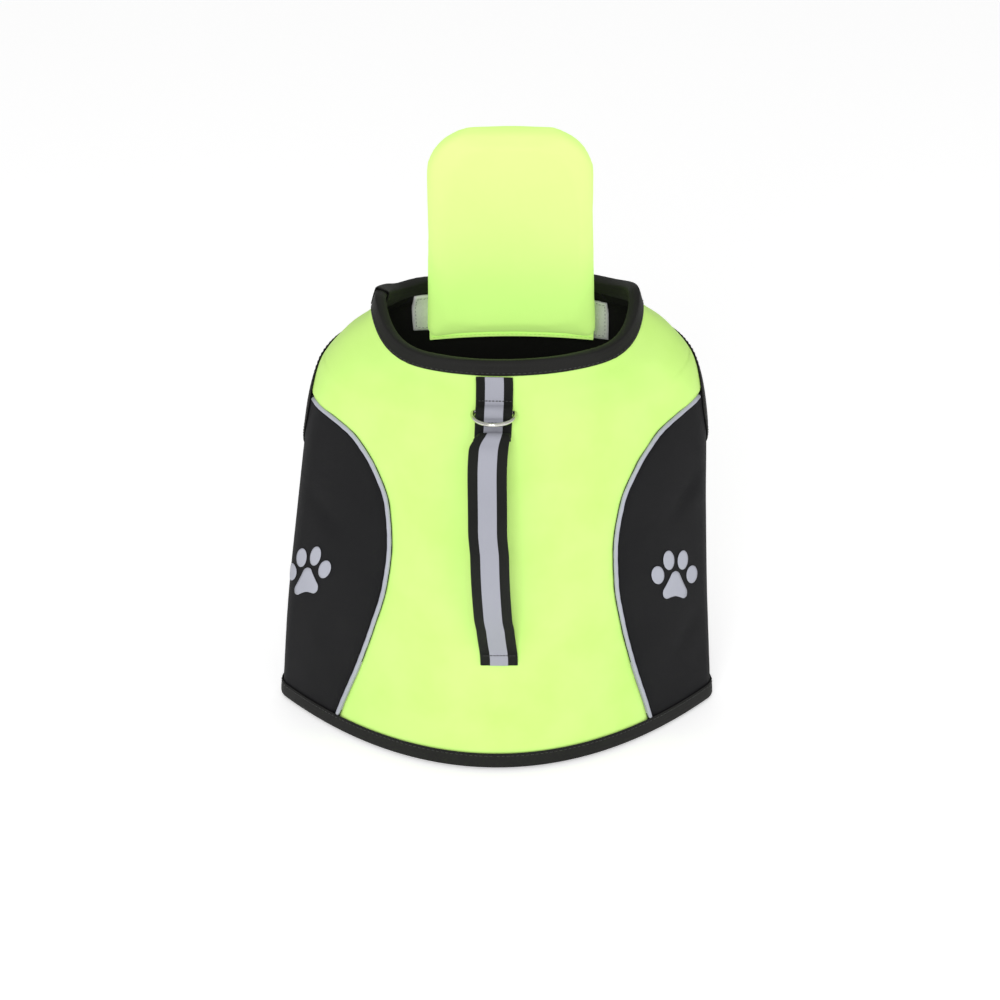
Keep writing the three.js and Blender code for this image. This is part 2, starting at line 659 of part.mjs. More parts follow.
// The loop strip is sewn to the inside of the belly panel.
function loopStrip() {
  const { centre, halfLength, low, high, lean } = LOOP_STRIP;
  const outer = -WALL / 2 - LOOP_GAP;
  const inner = outer - STRIP_THICKNESS;
  const rings = evenSteps(-halfLength, halfLength, 14).map((along) => {
    return [[low, outer], [high, outer], [high, inner], [low, inner]].map(([level, lift]) => {
      const height = level + lean * along;
      return liftedPoint(CENTRE_BACK + halfGirthAt(height) + centre + along, height, lift);
    });
  });
  return ringGeometry(rings, false);
}

function mesh(name, geometry, finish) {
  const piece = new THREE.Mesh(geometry, new THREE.MeshStandardMaterial(finish));
  piece.name = name;
  return piece;
}

function webbingOnBack() {
  const { binding, reflective, nickel } = COLOURS;
  const strap = strapRows();
  const band = { width: WEBBING_WIDTH, thickness: WEBBING_THICKNESS };
  const tape = { width: TAPE_WIDTH, thickness: TAPE_THICKNESS, out: tapeLift };
  const group = new THREE.Group();
  group.add(
    mesh('neck_strap', webbing(strap, band), binding),
    mesh('neck_strap_tape', webbing(strap, { ...tape, last: STRAP_TAPE_LAST }), reflective),
    mesh('handle', webbing(HANDLE_ROWS, band), binding),
    mesh('handle_tape', webbing(HANDLE_ROWS, { ...tape, first: HANDLE_TAPE_FIRST }), reflective),
    mesh('d_ring', dRing(), nickel),
  );
  return group;
}

function chinFloat() {
  const group = new THREE.Group();
  group.add(
    mesh('chin_float', floatPad(), COLOURS.neon),
    mesh('chin_float_flange', floatFlange(), COLOURS.neon),
    mesh('loop_strip', loopStrip(), COLOURS.loop),
    mesh('hook_strip', hookStrip(), COLOURS.black),
  );
  return group;
}

function clothBody() {
  const group = new THREE.Group();
  group.add(
    mesh('back_panel', backPanel(), COLOURS.neon),
    mesh('belly_panel', bellyPanel(), COLOURS.black),
    mesh('neck_binding', neckBinding(), COLOURS.binding),
    mesh('hem_binding', hemBinding(), COLOURS.binding),
  );
  Object.entries({ left: -1, right: 1 }).forEach(([name, side]) => {
    group.add(
      mesh(`side_panel_${name}`, sidePanel(side), COLOURS.black),
      mesh(`leg_binding_${name}`, legBinding(side), COLOURS.binding),
      mesh(`piping_${name}`, piping(side), COLOURS.reflective),
    );
  });
  return group;
}

const jacket = new THREE.Group();
jacket.name = 'dog_life_jacket';
jacket.add(clothBody(), webbingOnBack(), chinFloat());

// The origin is where the wearer's back holds it, on the back panel's inner face.
jacket.position.copy(liftedPoint(0, ORIGIN_HEIGHT, -WALL / 2)).negate();

export default jacket;
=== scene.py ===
"""A dog's life jacket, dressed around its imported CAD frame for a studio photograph.

The jacket is filled out as if worn, with its neck up and its back towards -Y. Sizes are in
millimetres until a point is placed. A place on the cloth is a distance round the jacket from the
centre of the back, positive towards +X, and a height above the hem, as in the part's source.
"""

import functools
import json
import logging
import math
from bisect import bisect_right
from collections.abc import Callable, Sequence
from dataclasses import astuple, dataclass
from enum import Enum

import bmesh
import bpy
from mathutils import Matrix, Vector, noise

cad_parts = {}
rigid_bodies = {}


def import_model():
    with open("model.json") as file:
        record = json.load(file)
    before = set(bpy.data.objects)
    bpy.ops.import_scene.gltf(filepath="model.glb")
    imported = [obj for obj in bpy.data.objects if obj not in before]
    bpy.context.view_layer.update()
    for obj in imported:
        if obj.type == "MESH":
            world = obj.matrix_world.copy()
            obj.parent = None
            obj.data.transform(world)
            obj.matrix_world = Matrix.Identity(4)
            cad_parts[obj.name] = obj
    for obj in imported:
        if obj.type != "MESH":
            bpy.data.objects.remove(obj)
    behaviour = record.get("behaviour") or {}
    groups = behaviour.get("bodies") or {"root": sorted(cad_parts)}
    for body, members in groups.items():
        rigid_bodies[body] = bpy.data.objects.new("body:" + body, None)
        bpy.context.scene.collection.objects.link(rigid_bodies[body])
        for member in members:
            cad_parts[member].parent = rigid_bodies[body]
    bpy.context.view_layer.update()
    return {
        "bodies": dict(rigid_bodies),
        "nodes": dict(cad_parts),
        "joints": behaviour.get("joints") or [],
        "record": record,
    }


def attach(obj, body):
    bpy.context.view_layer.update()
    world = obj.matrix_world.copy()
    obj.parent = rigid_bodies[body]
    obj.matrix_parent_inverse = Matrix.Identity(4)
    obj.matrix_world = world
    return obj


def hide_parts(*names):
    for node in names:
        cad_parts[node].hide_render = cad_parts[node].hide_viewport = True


LOG = logging.getLogger("dog_life_jacket")
MM = 0.001

JACKET = "jacket"
RING = "ring"

NECK_HEIGHT = 313.0
WALL = 5.0
TOUCH_GAP = 0.3
SEAM_GAP = 1.0
ORIGIN_HEIGHT = 150.0
CENTRE_BACK = -2.5
RING_HEIGHT = 273.0
STRAP_CENTRE = -12.7
TOWARDS_BACK = Vector((0, -1, 0))
MERGE_DISTANCE = 1e-7
THREAD_LIFT = 0.1
LINE_STEPS = 12

Place = tuple[float, float]
Colour = tuple[float, float, float]


class Side(Enum):
    """The two sides of the jacket as the camera sees them."""

    LEFT = -1
    RIGHT = 1

    @property
    def label(self) -> str:
        """The side's name in piece names."""
        return self.name.lower()


class Weave(Enum):
    """How a finish's surface is made, which settles its height pattern."""

    PLAIN = "plain weave"
    RIB = "ribs across the length"
    CORD = "cords along the length"
    PILE = "brushed pile"
    BEADS = "glass beads"
    PAD = "plain weave on a piece without a map"
    SMOOTH = "smooth"


# The jacket's form


@dataclass(frozen=True)
class Section:
    """The jacket's outline at one height above the hem."""

    height: float
    half_width: float
    back_depth: float
    belly_depth: float
    back_fold: float
    belly_fold: float
    centre_x: float
    scoop: float
    dip: float
    turn: float


SECTIONS = (
    Section(0, 154.2, 95, 68, 12, 14, -2.5, 0, 0, -0.5),
    Section(75, 148, 92, 69, 16, 18, -1.5, 0, 0, 1.2),
    Section(155, 140.5, 87.5, 68, 21, 24, 1.5, 0, 0, 2),
    Section(230, 133, 81, 60, 27, 32, 4.7, 3, 0, 2),
    Section(263, 124.5, 76, 55, 38, 42, 5, 9, 0, 2.7),
    Section(285, 107.5, 70, 53.7, 46, 48, 5, 16, 4, 3.5),
    Section(301, 88.5, 64, 53, 52, 50, 5, 20, 9, 3.8),
    Section(313, 84.5, 60.5, 51.5, 54, 50, 5, 22, 13, 3.8),
)


class SmoothColumn:
    """A smooth curve through values at given heights, straight past both of its ends."""

    def __init__(self, heights: Sequence[float], values: Sequence[float]) -> None:
        """Works out the slope at each height.

        Args:
            heights: the heights, from low to high.
            values: the value at each height.
        """
        self.heights = list(heights)
        self.values = list(values)
        rises = [
            (self.values[i + 1] - self.values[i]) / (self.heights[i + 1] - self.heights[i])
            for i in range(len(self.heights) - 1)
        ]
        self.slopes = [rises[0]]
        for before, after in zip(rises, rises[1:]):
            same_way = before * after > 0
            self.slopes.append(2 * before * after / (before + after) if same_way else 0.0)
        self.slopes.append(rises[-1])

    def __call__(self, height: float) -> float:
        """Gives the value at a height.

        Args:
            height: the height above the hem.

        Returns:
            The value there.
        """
        at, value, slope = self.heights, self.values, self.slopes
        if height <= at[0]:
            return value[0] + slope[0] * (height - at[0])
        if height >= at[-1]:
            return value[-1] + slope[-1] * (height - at[-1])
        i = bisect_right(at, height) - 1
        span = at[i + 1] - at[i]
        t = (height - at[i]) / span
        ahead = t * t * (3 - 2 * t)
        bend = t * (1 - t) * span
        return (
            value[i] * (1 - ahead)
            + value[i + 1] * ahead
            + bend * ((1 - t) * slope[i] - t * slope[i + 1])
        )


class QuarterOutline:
    """A quarter of a section: a parabola from its middle, then a round at the fold."""

    CURVE_STEPS = 24
    ROUND_STEPS = 12

    def __init__(self, half_width: float, depth: float, fold: float) -> None:
        """Lays points along the quarter.

        Args:
            half_width: half the section's width.
            depth: from the section's middle to its front or back.
            fold: the radius of the fold at the side.
        """
        steepness = 2 * (depth - fold) / (half_width - fold)
        self.points: list[Place] = []
        for i in range(self.CURVE_STEPS + 1):
            along = i / self.CURVE_STEPS
            length = math.hypot(1, steepness * along)
            x = (half_width - fold) * along + fold * steepness * along / length
            self.points.append((x, (depth - fold) * (1 - along * along) + fold / length))
        start = math.atan(steepness)
        for i in range(1, self.ROUND_STEPS + 1):
            angle = start + (math.pi / 2 - start) * i / self.ROUND_STEPS
            self.points.append(
                (half_width - fold + fold * math.sin(angle), fold * math.cos(angle))
            )
        self.reach = [0.0]
        for here, there in zip(self.points, self.points[1:]):
            self.reach.append(self.reach[-1] + math.dist(here, there))
        self.length = self.reach[-1]

    def at(self, distance: float) -> Place:
        """Gives the point at a distance from the middle.

        Args:
            distance: measured along the outline.

        Returns:
            The point, across and out from the section's middle.
        """
        i = min(max(bisect_right(self.reach, distance), 1), len(self.reach) - 1)
        share = (distance - self.reach[i - 1]) / (self.reach[i] - self.reach[i - 1])
        (x0, y0), (x1, y1) = self.points[i - 1], self.points[i]
        return x0 + (x1 - x0) * share, y0 + (y1 - y0) * share


@dataclass(frozen=True)
class Crease:
    """A soft fold in the cloth: a trough where its rise is negative, else a ridge."""

    start: Place
    end: Place
    width: float
    rise: float
    reach: float = 3.0

    def lift(self, distance: float, height: float) -> float:
        """Gives how far the cloth stands out at a place.

        Args:
            distance: round the jacket from the centre of the back.
            height: above the hem.

        Returns:
            The lift in millimetres.
        """
        run_x, run_y = self.end[0] - self.start[0], self.end[1] - self.start[1]
        away_x, away_y = distance - self.start[0], height - self.start[1]
        square = run_x * run_x + run_y * run_y
        along = (away_x * run_x + away_y * run_y) / square
        if not 0 < along < 1:
            return 0.0
        off = (away_x * run_y - away_y * run_x) / math.sqrt(square) / self.width
        if abs(off) > self.reach:
            return 0.0
        taper = math.sin(math.pi * along) ** 2
        return self.rise * taper * math.exp(-off * off)


CREASES = (
    Crease((-46, 262), (-22, 70), 13, -1.3),
    Crease((26, 268), (14, 66), 15, -1.5),
    Crease((52, 300), (36, 206), 14, 0.9),
    Crease((-66, 300), (-52, 196), 12, 0.9),
    Crease((-78, 212), (-30, 148), 10, -0.7),
    Crease((74, 190), (30, 118), 11, -0.7),
    Crease((-88, 78), (-18, 34), 12, 0.8),
    Crease((96, 70), (20, 30), 12, 0.9),
    Crease((-120, 262), (-84, 232), 8, -0.9),
    Crease((122, 270), (82, 238), 9, -1.0),
    Crease((160, 196), (118, 150), 9, -1.1),
    Crease((172, 160), (128, 176), 8, 0.9),
    Crease((-168, 184), (-112, 150), 9, -1.1),
    Crease((-150, 60), (-116, 96), 10, -0.8),
    Crease((176, 84), (130, 44), 10, -0.9),
    Crease((214, 178), (196, 60), 12, -1.2),
    Crease((-214, 172), (-190, 66), 12, -1.1),
    Crease((268, 190), (300, 96), 14, -1.3),
    Crease((-276, 176), (-312, 84), 14, -1.3),
    Crease((330, 262), (352, 150), 15, 1.1),
    Crease((296, 64), (356, 36), 12, 0.9),
    Crease((-330, 60), (-296, 28), 12, -0.8),
)


@dataclass(frozen=True)
class SurfaceFrame:
    """The directions at a place on the cloth."""

    across: Vector
    normal: Vector
    up: Vector


class JacketForm:
    """The surface in the middle of the jacket's wall, filled out as if worn."""

    SCOOP_POWER = 6
    CORNER_DIP = 0.3
    CORNER_DIP_SPAN = 0.6
    FRAME_STEP = 0.5

    def __init__(self, sections: Sequence[Section], creases: Sequence[Crease]) -> None:
        """Prepares the curves between the sections.

        Args:
            sections: the outlines, from the hem to the neck.
            creases: the soft folds over all the cloth.
        """
        rows = [astuple(section) for section in sections]
        columns = list(zip(*rows))
        self.size_at = [SmoothColumn(columns[0], column) for column in columns[1:]]
        self.creases = tuple(creases)
        self.cache: dict[float, tuple[Section, QuarterOutline, QuarterOutline]] = {}
        self.offset = Vector((0, 0, 0))
        self.offset = -self.flat_lifted(0, ORIGIN_HEIGHT, -WALL / 2)

    def section(self, height: float) -> tuple[Section, QuarterOutline, QuarterOutline]:
        """Gives the outline at a height.

        Args:
            height: above the hem.

        Returns:
            The section with its back and belly quarters.
        """
        if height not in self.cache:
            size = Section(height, *(at(height) for at in self.size_at))
            back = QuarterOutline(size.half_width, size.back_depth, size.back_fold)
            belly = QuarterOutline(size.half_width, size.belly_depth, size.belly_fold)
            self.cache[height] = (size, back, belly)
        return self.cache[height]

    def half_girth(self, height: float) -> float:
        """Gives half the way round the jacket at a height."""
        _, back, belly = self.section(height)
        return back.length + belly.length

    def surface(self, distance: float, height: float) -> Vector:
        """Gives a point of the smooth surface.

        Args:
            distance: round the jacket from the centre of the back.
            height: above the hem.

        Returns:
            The point in millimetres, in the part's frame.
        """
        size, back, belly = self.section(height)
        half = back.length + belly.length
        wrapped = distance - 2 * half * round(distance / (2 * half))
        way = abs(wrapped)
        share = way / back.length
        if share <= 1:
            x, y = back.at(way)
            y = -y
            drop = size.scoop * (1 - share**self.SCOOP_POWER) ** 2
        else:
            x, y = belly.at(half - way)
            past = (way - back.length) / belly.length
            corner = math.sin(math.pi * min(past / self.CORNER_DIP_SPAN, 1)) ** 2
            drop = size.dip * (math.sin(past * math.pi / 2) ** 2 + self.CORNER_DIP * corner)
        x = math.copysign(x, wrapped)
        turn = math.radians(size.turn)
        turned = x * math.cos(turn) - y * math.sin(turn), x * math.sin(turn) + y * math.cos(turn)
        return Vector((turned[0] + size.centre_x, turned[1], height - drop)) + self.offset

    def frame(self, distance: float, height: float) -> SurfaceFrame:
        """Gives the directions at a place.

        Args:
            distance: round the jacket from the centre of the back.
            height: above the hem.

        Returns:
            Level round the jacket, out of it, and up along it.
        """
        step = self.FRAME_STEP
        across = self.surface(distance + step, height) - self.surface(distance - step, height)
        rise = self.surface(distance, height + step) - self.surface(distance, height - step)
        across.normalize()
        normal = across.cross(rise).normalized()
        return SurfaceFrame(across, normal, normal.cross(across))

    def flat_lifted(self, distance: float, height: float, lift: float) -> Vector:
        """Gives a point over the smooth surface, as the part's source does."""
        return self.surface(distance, height) + self.frame(distance, height).normal * lift

    def relief(self, distance: float, height: float) -> float:
        """Gives how far the creases move the cloth at a place.

        Args:
            distance: round the jacket from the centre of the back.
            height: above the hem.

        Returns:
            The lift in millimetres.
        """
        half = self.half_girth(height)
        wrapped = distance - 2 * half * round(distance / (2 * half))
        return sum(crease.lift(wrapped, height) for crease in self.creases)

    def lifted(self, distance: float, height: float, lift: float) -> Vector:
        """Gives a point over the creased cloth.

        Args:
            distance: round the jacket from the centre of the back.
            height: above the hem.
            lift: outwards from the middle of the wall.

        Returns:
            The point in millimetres, in the part's frame.
        """
        return self.flat_lifted(distance, height, lift + self.relief(distance, height))


class Pattern:
    """Where the seams run on the jacket, each as a distance from the centre of the back."""

    PIPING_LINE = (
        (0, 125), (21, 117.5), (59, 102.5), (95, 90.5), (128, 82), (159, 79), (188, 81.8),
        (214, 93.3), (226, 103.2), (233, 111.6), (238, 123.7), (242, 140.8), (245, 164),
    )
    BELLY_SEAM_AT_HEM = 236.0
    BELLY_SEAM_AT_NECK = 160.0
    PIPING_CLEARANCE = 2.1
    HOLE_DISTANCE = 204.0
    HOLE_HEIGHT = 227.0
    HOLE_HALF_WIDTH = 40.0
    HOLE_HALF_HEIGHT = 43.0
    HOLE_LEAN = 0.35
    HORN_TOP = 242.2
    JOIN_HEIGHT = 247.0

    def __init__(self) -> None:
        """Prepares the piping's line."""
        heights, distances = zip(*self.PIPING_LINE)
        self.piping = SmoothColumn(heights, distances)
        self.hole_bottom = self.HOLE_HEIGHT - self.HOLE_HALF_HEIGHT
        self.hole_top = self.HOLE_HEIGHT + self.HOLE_HALF_HEIGHT

    def hole_half_width(self, height: float) -> float:
        """Gives half the leg hole's width at a height, or nothing above and below it."""
        share = (height - self.HOLE_HEIGHT) / self.HOLE_HALF_HEIGHT
        return self.HOLE_HALF_WIDTH * math.sqrt(max(1 - share * share, 0.0))

    def clearance(self, height: float) -> float:
        """Gives how far a seam's edge stands from the piping's line, measured round the body."""
        slope = self.piping(height + 0.5) - self.piping(height - 0.5)
        return self.PIPING_CLEARANCE * math.hypot(1, slope)

    def belly_seam(self, height: float) -> float:
        """Gives the middle of the leg hole, and above and below it the belly's seam.

        Args:
            height: above the hem.

        Returns:
            The distance from the centre of the back.
        """

        def middle(level: float) -> float:
            """Gives the middle of the leg hole at a level."""
            return self.HOLE_DISTANCE - self.HOLE_LEAN * (level - self.HOLE_HEIGHT)

        if height < self.hole_bottom:
            share = height / self.hole_bottom
            return self.BELLY_SEAM_AT_HEM * (1 - share) + middle(self.hole_bottom) * share
        if height > self.hole_top:
            share = (height - self.hole_top) / (NECK_HEIGHT - self.hole_top)
            return middle(self.hole_top) * (1 - share) + self.BELLY_SEAM_AT_NECK * share
        return middle(height)

    def back_edge(self, height: float) -> float:
        """Gives the edge of the back panel, along the piping and then along the leg hole."""
        if height >= self.hole_top:
            return self.belly_seam(height) - SEAM_GAP / 2
        along_piping = self.piping(height) - self.clearance(height)
        if height < self.hole_bottom:
            return along_piping
        along_hole = self.side_far_edge(height)
        return along_hole if height >= self.JOIN_HEIGHT else min(along_piping, along_hole)

    def side_near_edge(self, height: float) -> float:
        """Gives the edge of the side panel at the piping."""
        return self.piping(height) + self.clearance(height)

    def side_far_edge(self, height: float) -> float:
        """Gives the edge of the side panel at the belly's seam and the leg hole."""
        return self.belly_seam(height) - SEAM_GAP / 2 - self.hole_half_width(height)

    def belly_edge(self, height: float) -> float:
        """Gives the edge of the belly panel."""
        return self.belly_seam(height) + SEAM_GAP / 2 + self.hole_half_width(height)


# Finishes


@dataclass(frozen=True)
class Finish:
    """A surface finish with its weave, built as a material from nodes."""

    name: str
    slot: str
    colour: Colour
    shade: Colour
    weave: Weave
    roughness: float
    pitch: float = 0.7
    bump: float = 0.25
    sheen: float = 0.0
    metallic: float = 0.0
    specular: float = 0.5
    glow: float = 0.0
    cloud_scale: float = 22.0
    cloud_detail: float = 4.0
    depth_share: float = 0.35
    shade_below: float = 0.35
    colour_above: float = 0.8
    rib_waver: float = 0.12
    cord_slub: float = 0.8

    @functools.cache
    def material(self) -> bpy.types.Material:
        """Builds the material once, and returns the same one after that.

        Returns:
            The material of this finish.
        """
        material = bpy.data.materials.new(self.name)
        material.use_nodes = True
        material.diffuse_color = (*self.colour, 1.0)
        nodes, links = material.node_tree.nodes, material.node_tree.links
        shader = nodes["Principled BSDF"]
        shader.inputs["Roughness"].default_value = self.roughness
        shader.inputs["Metallic"].default_value = self.metallic
        shader.inputs["Specular IOR Level"].default_value = self.specular
        shader.inputs["Sheen Weight"].default_value = self.sheen
        shader.inputs["Sheen Roughness"].default_value = 0.5
        # Painted glow: the finish gives off light in its own colour, though the piece is no lamp.
        if self.glow:
            shader.inputs["Emission Color"].default_value = (*self.colour, 1.0)
            shader.inputs["Emission Strength"].default_value = self.glow
        height = self.weave_height(nodes, links)
        self.dye(nodes, links, height, shader)
        bump = nodes.new("ShaderNodeBump")
        bump.inputs["Strength"].default_value = self.bump
        bump.inputs["Distance"].default_value = self.pitch * MM
        links.new(height, bump.inputs["Height"])
        links.new(bump.outputs["Normal"], shader.inputs["Normal"])
        return material

    def dye(
        self,
        nodes: bpy.types.Nodes,
        links: bpy.types.NodeLinks,
        height: bpy.types.NodeSocket,
        shader: bpy.types.Node,
    ) -> None:
        """Mixes the two colours by a soft cloud, which gives tone that differs at random, and by
        the weave's depth, which paints shade into the weave's hollows.

        Args:
            nodes: the material's nodes.
            links: the material's links.
            height: the weave's height output.
            shader: the surface shader.
        """
        place = nodes.new("ShaderNodeTexCoord")
        cloud = nodes.new("ShaderNodeTexNoise")
        cloud.inputs["Scale"].default_value = self.cloud_scale
        cloud.inputs["Detail"].default_value = self.cloud_detail
        links.new(place.outputs["Object"], cloud.inputs["Vector"])
        # Painted shade: where the weave's height is low, the colour moves towards the darker one.
        blend = nodes.new("ShaderNodeMath")
        blend.operation = "MULTIPLY_ADD"
        blend.inputs[1].default_value = self.depth_share
        links.new(height, blend.inputs[0])
        links.new(cloud.outputs["Fac"], blend.inputs[2])
        ramp = nodes.new("ShaderNodeValToRGB")
        low, high = ramp.color_ramp.elements
        low.position, high.position = self.shade_below, self.colour_above
        low.color = (*self.shade, 1.0)
        high.color = (*self.colour, 1.0)
        links.new(blend.outputs["Value"], ramp.inputs["Fac"])
        links.new(ramp.outputs["Color"], shader.inputs["Base Color"])

    def weave_height(
        self, nodes: bpy.types.Nodes, links: bpy.types.NodeLinks
    ) -> bpy.types.NodeSocket:
        """Builds the weave's height on the piece's own map.

        Args:
            nodes: the material's nodes.
            links: the material's links.

        Returns:
            The output socket with the height, from 0 to 1.
        """
        place = nodes.new("ShaderNodeTexCoord")
        if self.weave in (Weave.PILE, Weave.SMOOTH):
            grain = nodes.new("ShaderNodeTexNoise")
            grain.inputs["Scale"].default_value = 1 / (self.pitch * MM)
            grain.inputs["Detail"].default_value = 6.0
            links.new(place.outputs["Object"], grain.inputs["Vector"])
            return grain.outputs["Fac"]
        if self.weave is Weave.BEADS:
            beads = nodes.new("ShaderNodeTexVoronoi")
            beads.inputs["Scale"].default_value = 1 / (self.pitch * MM)
            links.new(place.outputs["UV"], beads.inputs["Vector"])
            return beads.outputs["Distance"]
        split = nodes.new("ShaderNodeSeparateXYZ")
        source = "Object" if self.weave is Weave.PAD else "UV"
        links.new(place.outputs[source], split.inputs["Vector"])
        waves = []
        turn = 2 * math.pi / (self.pitch * MM)
        for axis, rate in self.wave_rates():
            scaled = nodes.new("ShaderNodeMath")
            scaled.operation = "MULTIPLY"
            scaled.inputs[1].default_value = turn * rate
            links.new(split.outputs[axis], scaled.inputs[0])
            wave = nodes.new("ShaderNodeMath")
            wave.operation = "SINE"
            links.new(scaled.outputs["Value"], wave.inputs[0])
            waves.append(wave.outputs["Value"])
        product = nodes.new("ShaderNodeMath")
        product.operation = "MULTIPLY"
        links.new(waves[0], product.inputs[0])
        links.new(waves[1], product.inputs[1])
        spread = nodes.new("ShaderNodeMath")
        spread.operation = "MULTIPLY_ADD"
        spread.inputs[1].default_value = 0.5
        spread.inputs[2].default_value = 0.5
        links.new(product.outputs["Value"], spread.inputs[0])
        return spread.outputs["Value"]

    def wave_rates(self) -> tuple[tuple[str, float], tuple[str, float]]:
        """Gives each axis of the map with its threads' rate."""
        if self.weave is Weave.RIB:
            return ("X", 1.0), ("Y", self.rib_waver)
        if self.weave is Weave.CORD:
            return ("Y", 1.0), ("X", self.cord_slub)
        if self.weave is Weave.PAD:
            return ("X", 1.0), ("Z", 1.0)
        return ("X", 1.0), ("Y", 1.0)


NEON_CLOTH = Finish(
    "neon_woven_cloth", "neon_cloth", (0.64, 0.96, 0.245), (0.57, 0.92, 0.19), Weave.PLAIN, 0.6,
    pitch=0.7, bump=0.12, specular=0.3,
)
# The pad's finish is a darker copy of the neon cloth with a painted glow in its colour. The glow
# stands in for light falling on the pad and brightens its recessed lower part.
NEON_PAD_PAINTED_GLOW = Finish(
    "neon_padded_cloth", "neon_cloth", (0.50, 0.80, 0.195), (0.47, 0.78, 0.175), Weave.PAD, 0.6,
    pitch=0.7, bump=0.12, specular=0.3, glow=0.6,
)
BLACK_CLOTH = Finish(
    "black_woven_cloth", "black_cloth", (0.009, 0.009, 0.010), (0.006, 0.006, 0.007),
    Weave.PLAIN, 0.7, pitch=0.7, bump=0.25, specular=0.14,
)
LINING = Finish(
    "black_lining", "black_cloth", (0.009, 0.009, 0.008), (0.006, 0.006, 0.005),
    Weave.PLAIN, 0.85, pitch=1.0, bump=0.25, specular=0.1,
)
BINDING_TAPE = Finish(
    "ribbed_binding", "binding_tape", (0.013, 0.013, 0.012), (0.008, 0.008, 0.007),
    Weave.RIB, 0.6, pitch=0.9, bump=0.35, specular=0.16,
)
WEBBING = Finish(
    "black_webbing", "webbing", (0.011, 0.012, 0.010), (0.005, 0.005, 0.005),
    Weave.CORD, 0.6, pitch=1.4, bump=0.5, specular=0.16,
)
REFLECTIVE = Finish(
    "reflective_film", "reflective_tape", (0.42, 0.43, 0.495), (0.38, 0.39, 0.45),
    Weave.BEADS, 0.5, pitch=0.5, bump=0.12, specular=0.25,
)
REFLECTIVE_TAPE = Finish(
    "reflective_ribbon", "reflective_tape", (0.345, 0.35, 0.405), (0.32, 0.325, 0.375),
    Weave.BEADS, 0.5, pitch=0.5, bump=0.12, specular=0.25,
)
LOOP_PILE = Finish(
    "grey_loop_pile", "loop_tape", (0.78, 0.79, 0.76), (0.62, 0.63, 0.61),
    Weave.PILE, 0.95, pitch=1.2, bump=0.6, sheen=0.3,
)
HOOK_PILE = Finish(
    "black_hook_tape", "hook_tape", (0.03, 0.03, 0.03), (0.015, 0.015, 0.015),
    Weave.PILE, 0.8, pitch=1.0, bump=0.6,
)
NICKEL = Finish(
    "nickel_wire", "nickel_steel", (0.62, 0.61, 0.56), (0.55, 0.54, 0.5),
    Weave.SMOOTH, 0.22, pitch=2.5, bump=0.03, metallic=1.0,
)
BLACK_THREAD = Finish(
    "black_thread", "webbing", (0.02, 0.02, 0.02), (0.01, 0.01, 0.01),
    Weave.SMOOTH, 0.6, pitch=0.3, bump=0.3, sheen=0.2,
)
NEON_THREAD = Finish(
    "neon_thread", "neon_cloth", (0.6, 0.9, 0.2), (0.5, 0.8, 0.16), Weave.SMOOTH, 0.6,
    pitch=0.3, bump=0.3, sheen=0.2,
)
GREY_THREAD = Finish(
    "grey_thread", "loop_tape", (0.3, 0.31, 0.31), (0.22, 0.22, 0.22),
    Weave.SMOOTH, 0.6, pitch=0.3, bump=0.3, sheen=0.2,
)


# Mesh tools


def finished(name: str, bm: bmesh.types.BMesh, *finishes: Finish) -> bpy.types.Object:
    """Makes a smooth-shaded object of a mesh and gives it its materials.

    Args:
        name: the object's name.
        bm: the mesh, in metres, which is freed.
        finishes: the finish of each material slot, in order.

    Returns:
        The object, linked to the scene.
    """
    mesh = bpy.data.meshes.new(name)
    bm.to_mesh(mesh)
    bm.free()
    mesh.polygons.foreach_set("use_smooth", [True] * len(mesh.polygons))
    piece = bpy.data.objects.new(name, mesh)
    bpy.context.scene.collection.objects.link(piece)
    for finish in finishes:
        mesh.materials.append(finish.material())
    LOG.info("%s has %d faces", name, len(mesh.polygons))
    return piece


def patch(
    columns: int,
    rows: int,
    place: Callable[[int, int], Vector],
    chart: Callable[[int, int], Place],
) -> bmesh.types.BMesh:
    """Bends a grid onto a surface.

    Args:
        columns: the number of steps across.
        rows: the number of steps up.
        place: gives the point of a column and row, in millimetres.
        chart: gives the place of a column and row on the cloth, in millimetres.

    Returns:
        The mesh, in metres, with its map in metres too.
    """
    bm = bmesh.new()
    layer = bm.loops.layers.uv.new("UVMap")
    bmesh.ops.create_grid(bm, x_segments=columns, y_segments=rows, size=0.5)
    index = {
        v: (round((v.co.x + 0.5) * columns), round((v.co.y + 0.5) * rows)) for v in bm.verts
    }
    for face in bm.faces:
        for loop in face.loops:
            u, v = chart(*index[loop.vert])
            loop[layer].uv = (u * MM, v * MM)
    for vertex, (i, j) in index.items():
        vertex.co = place(i, j) * MM
    return bm


def join(bm: bmesh.types.BMesh, other: bmesh.types.BMesh) -> None:
    """Moves the faces of a second mesh into the first.

    Args:
        bm: the mesh that grows.
        other: the mesh that is used up.
    """
    mesh = bpy.data.meshes.new("joined")
    other.to_mesh(mesh)
    other.free()
    bm.from_mesh(mesh)
    bpy.data.meshes.remove(mesh)


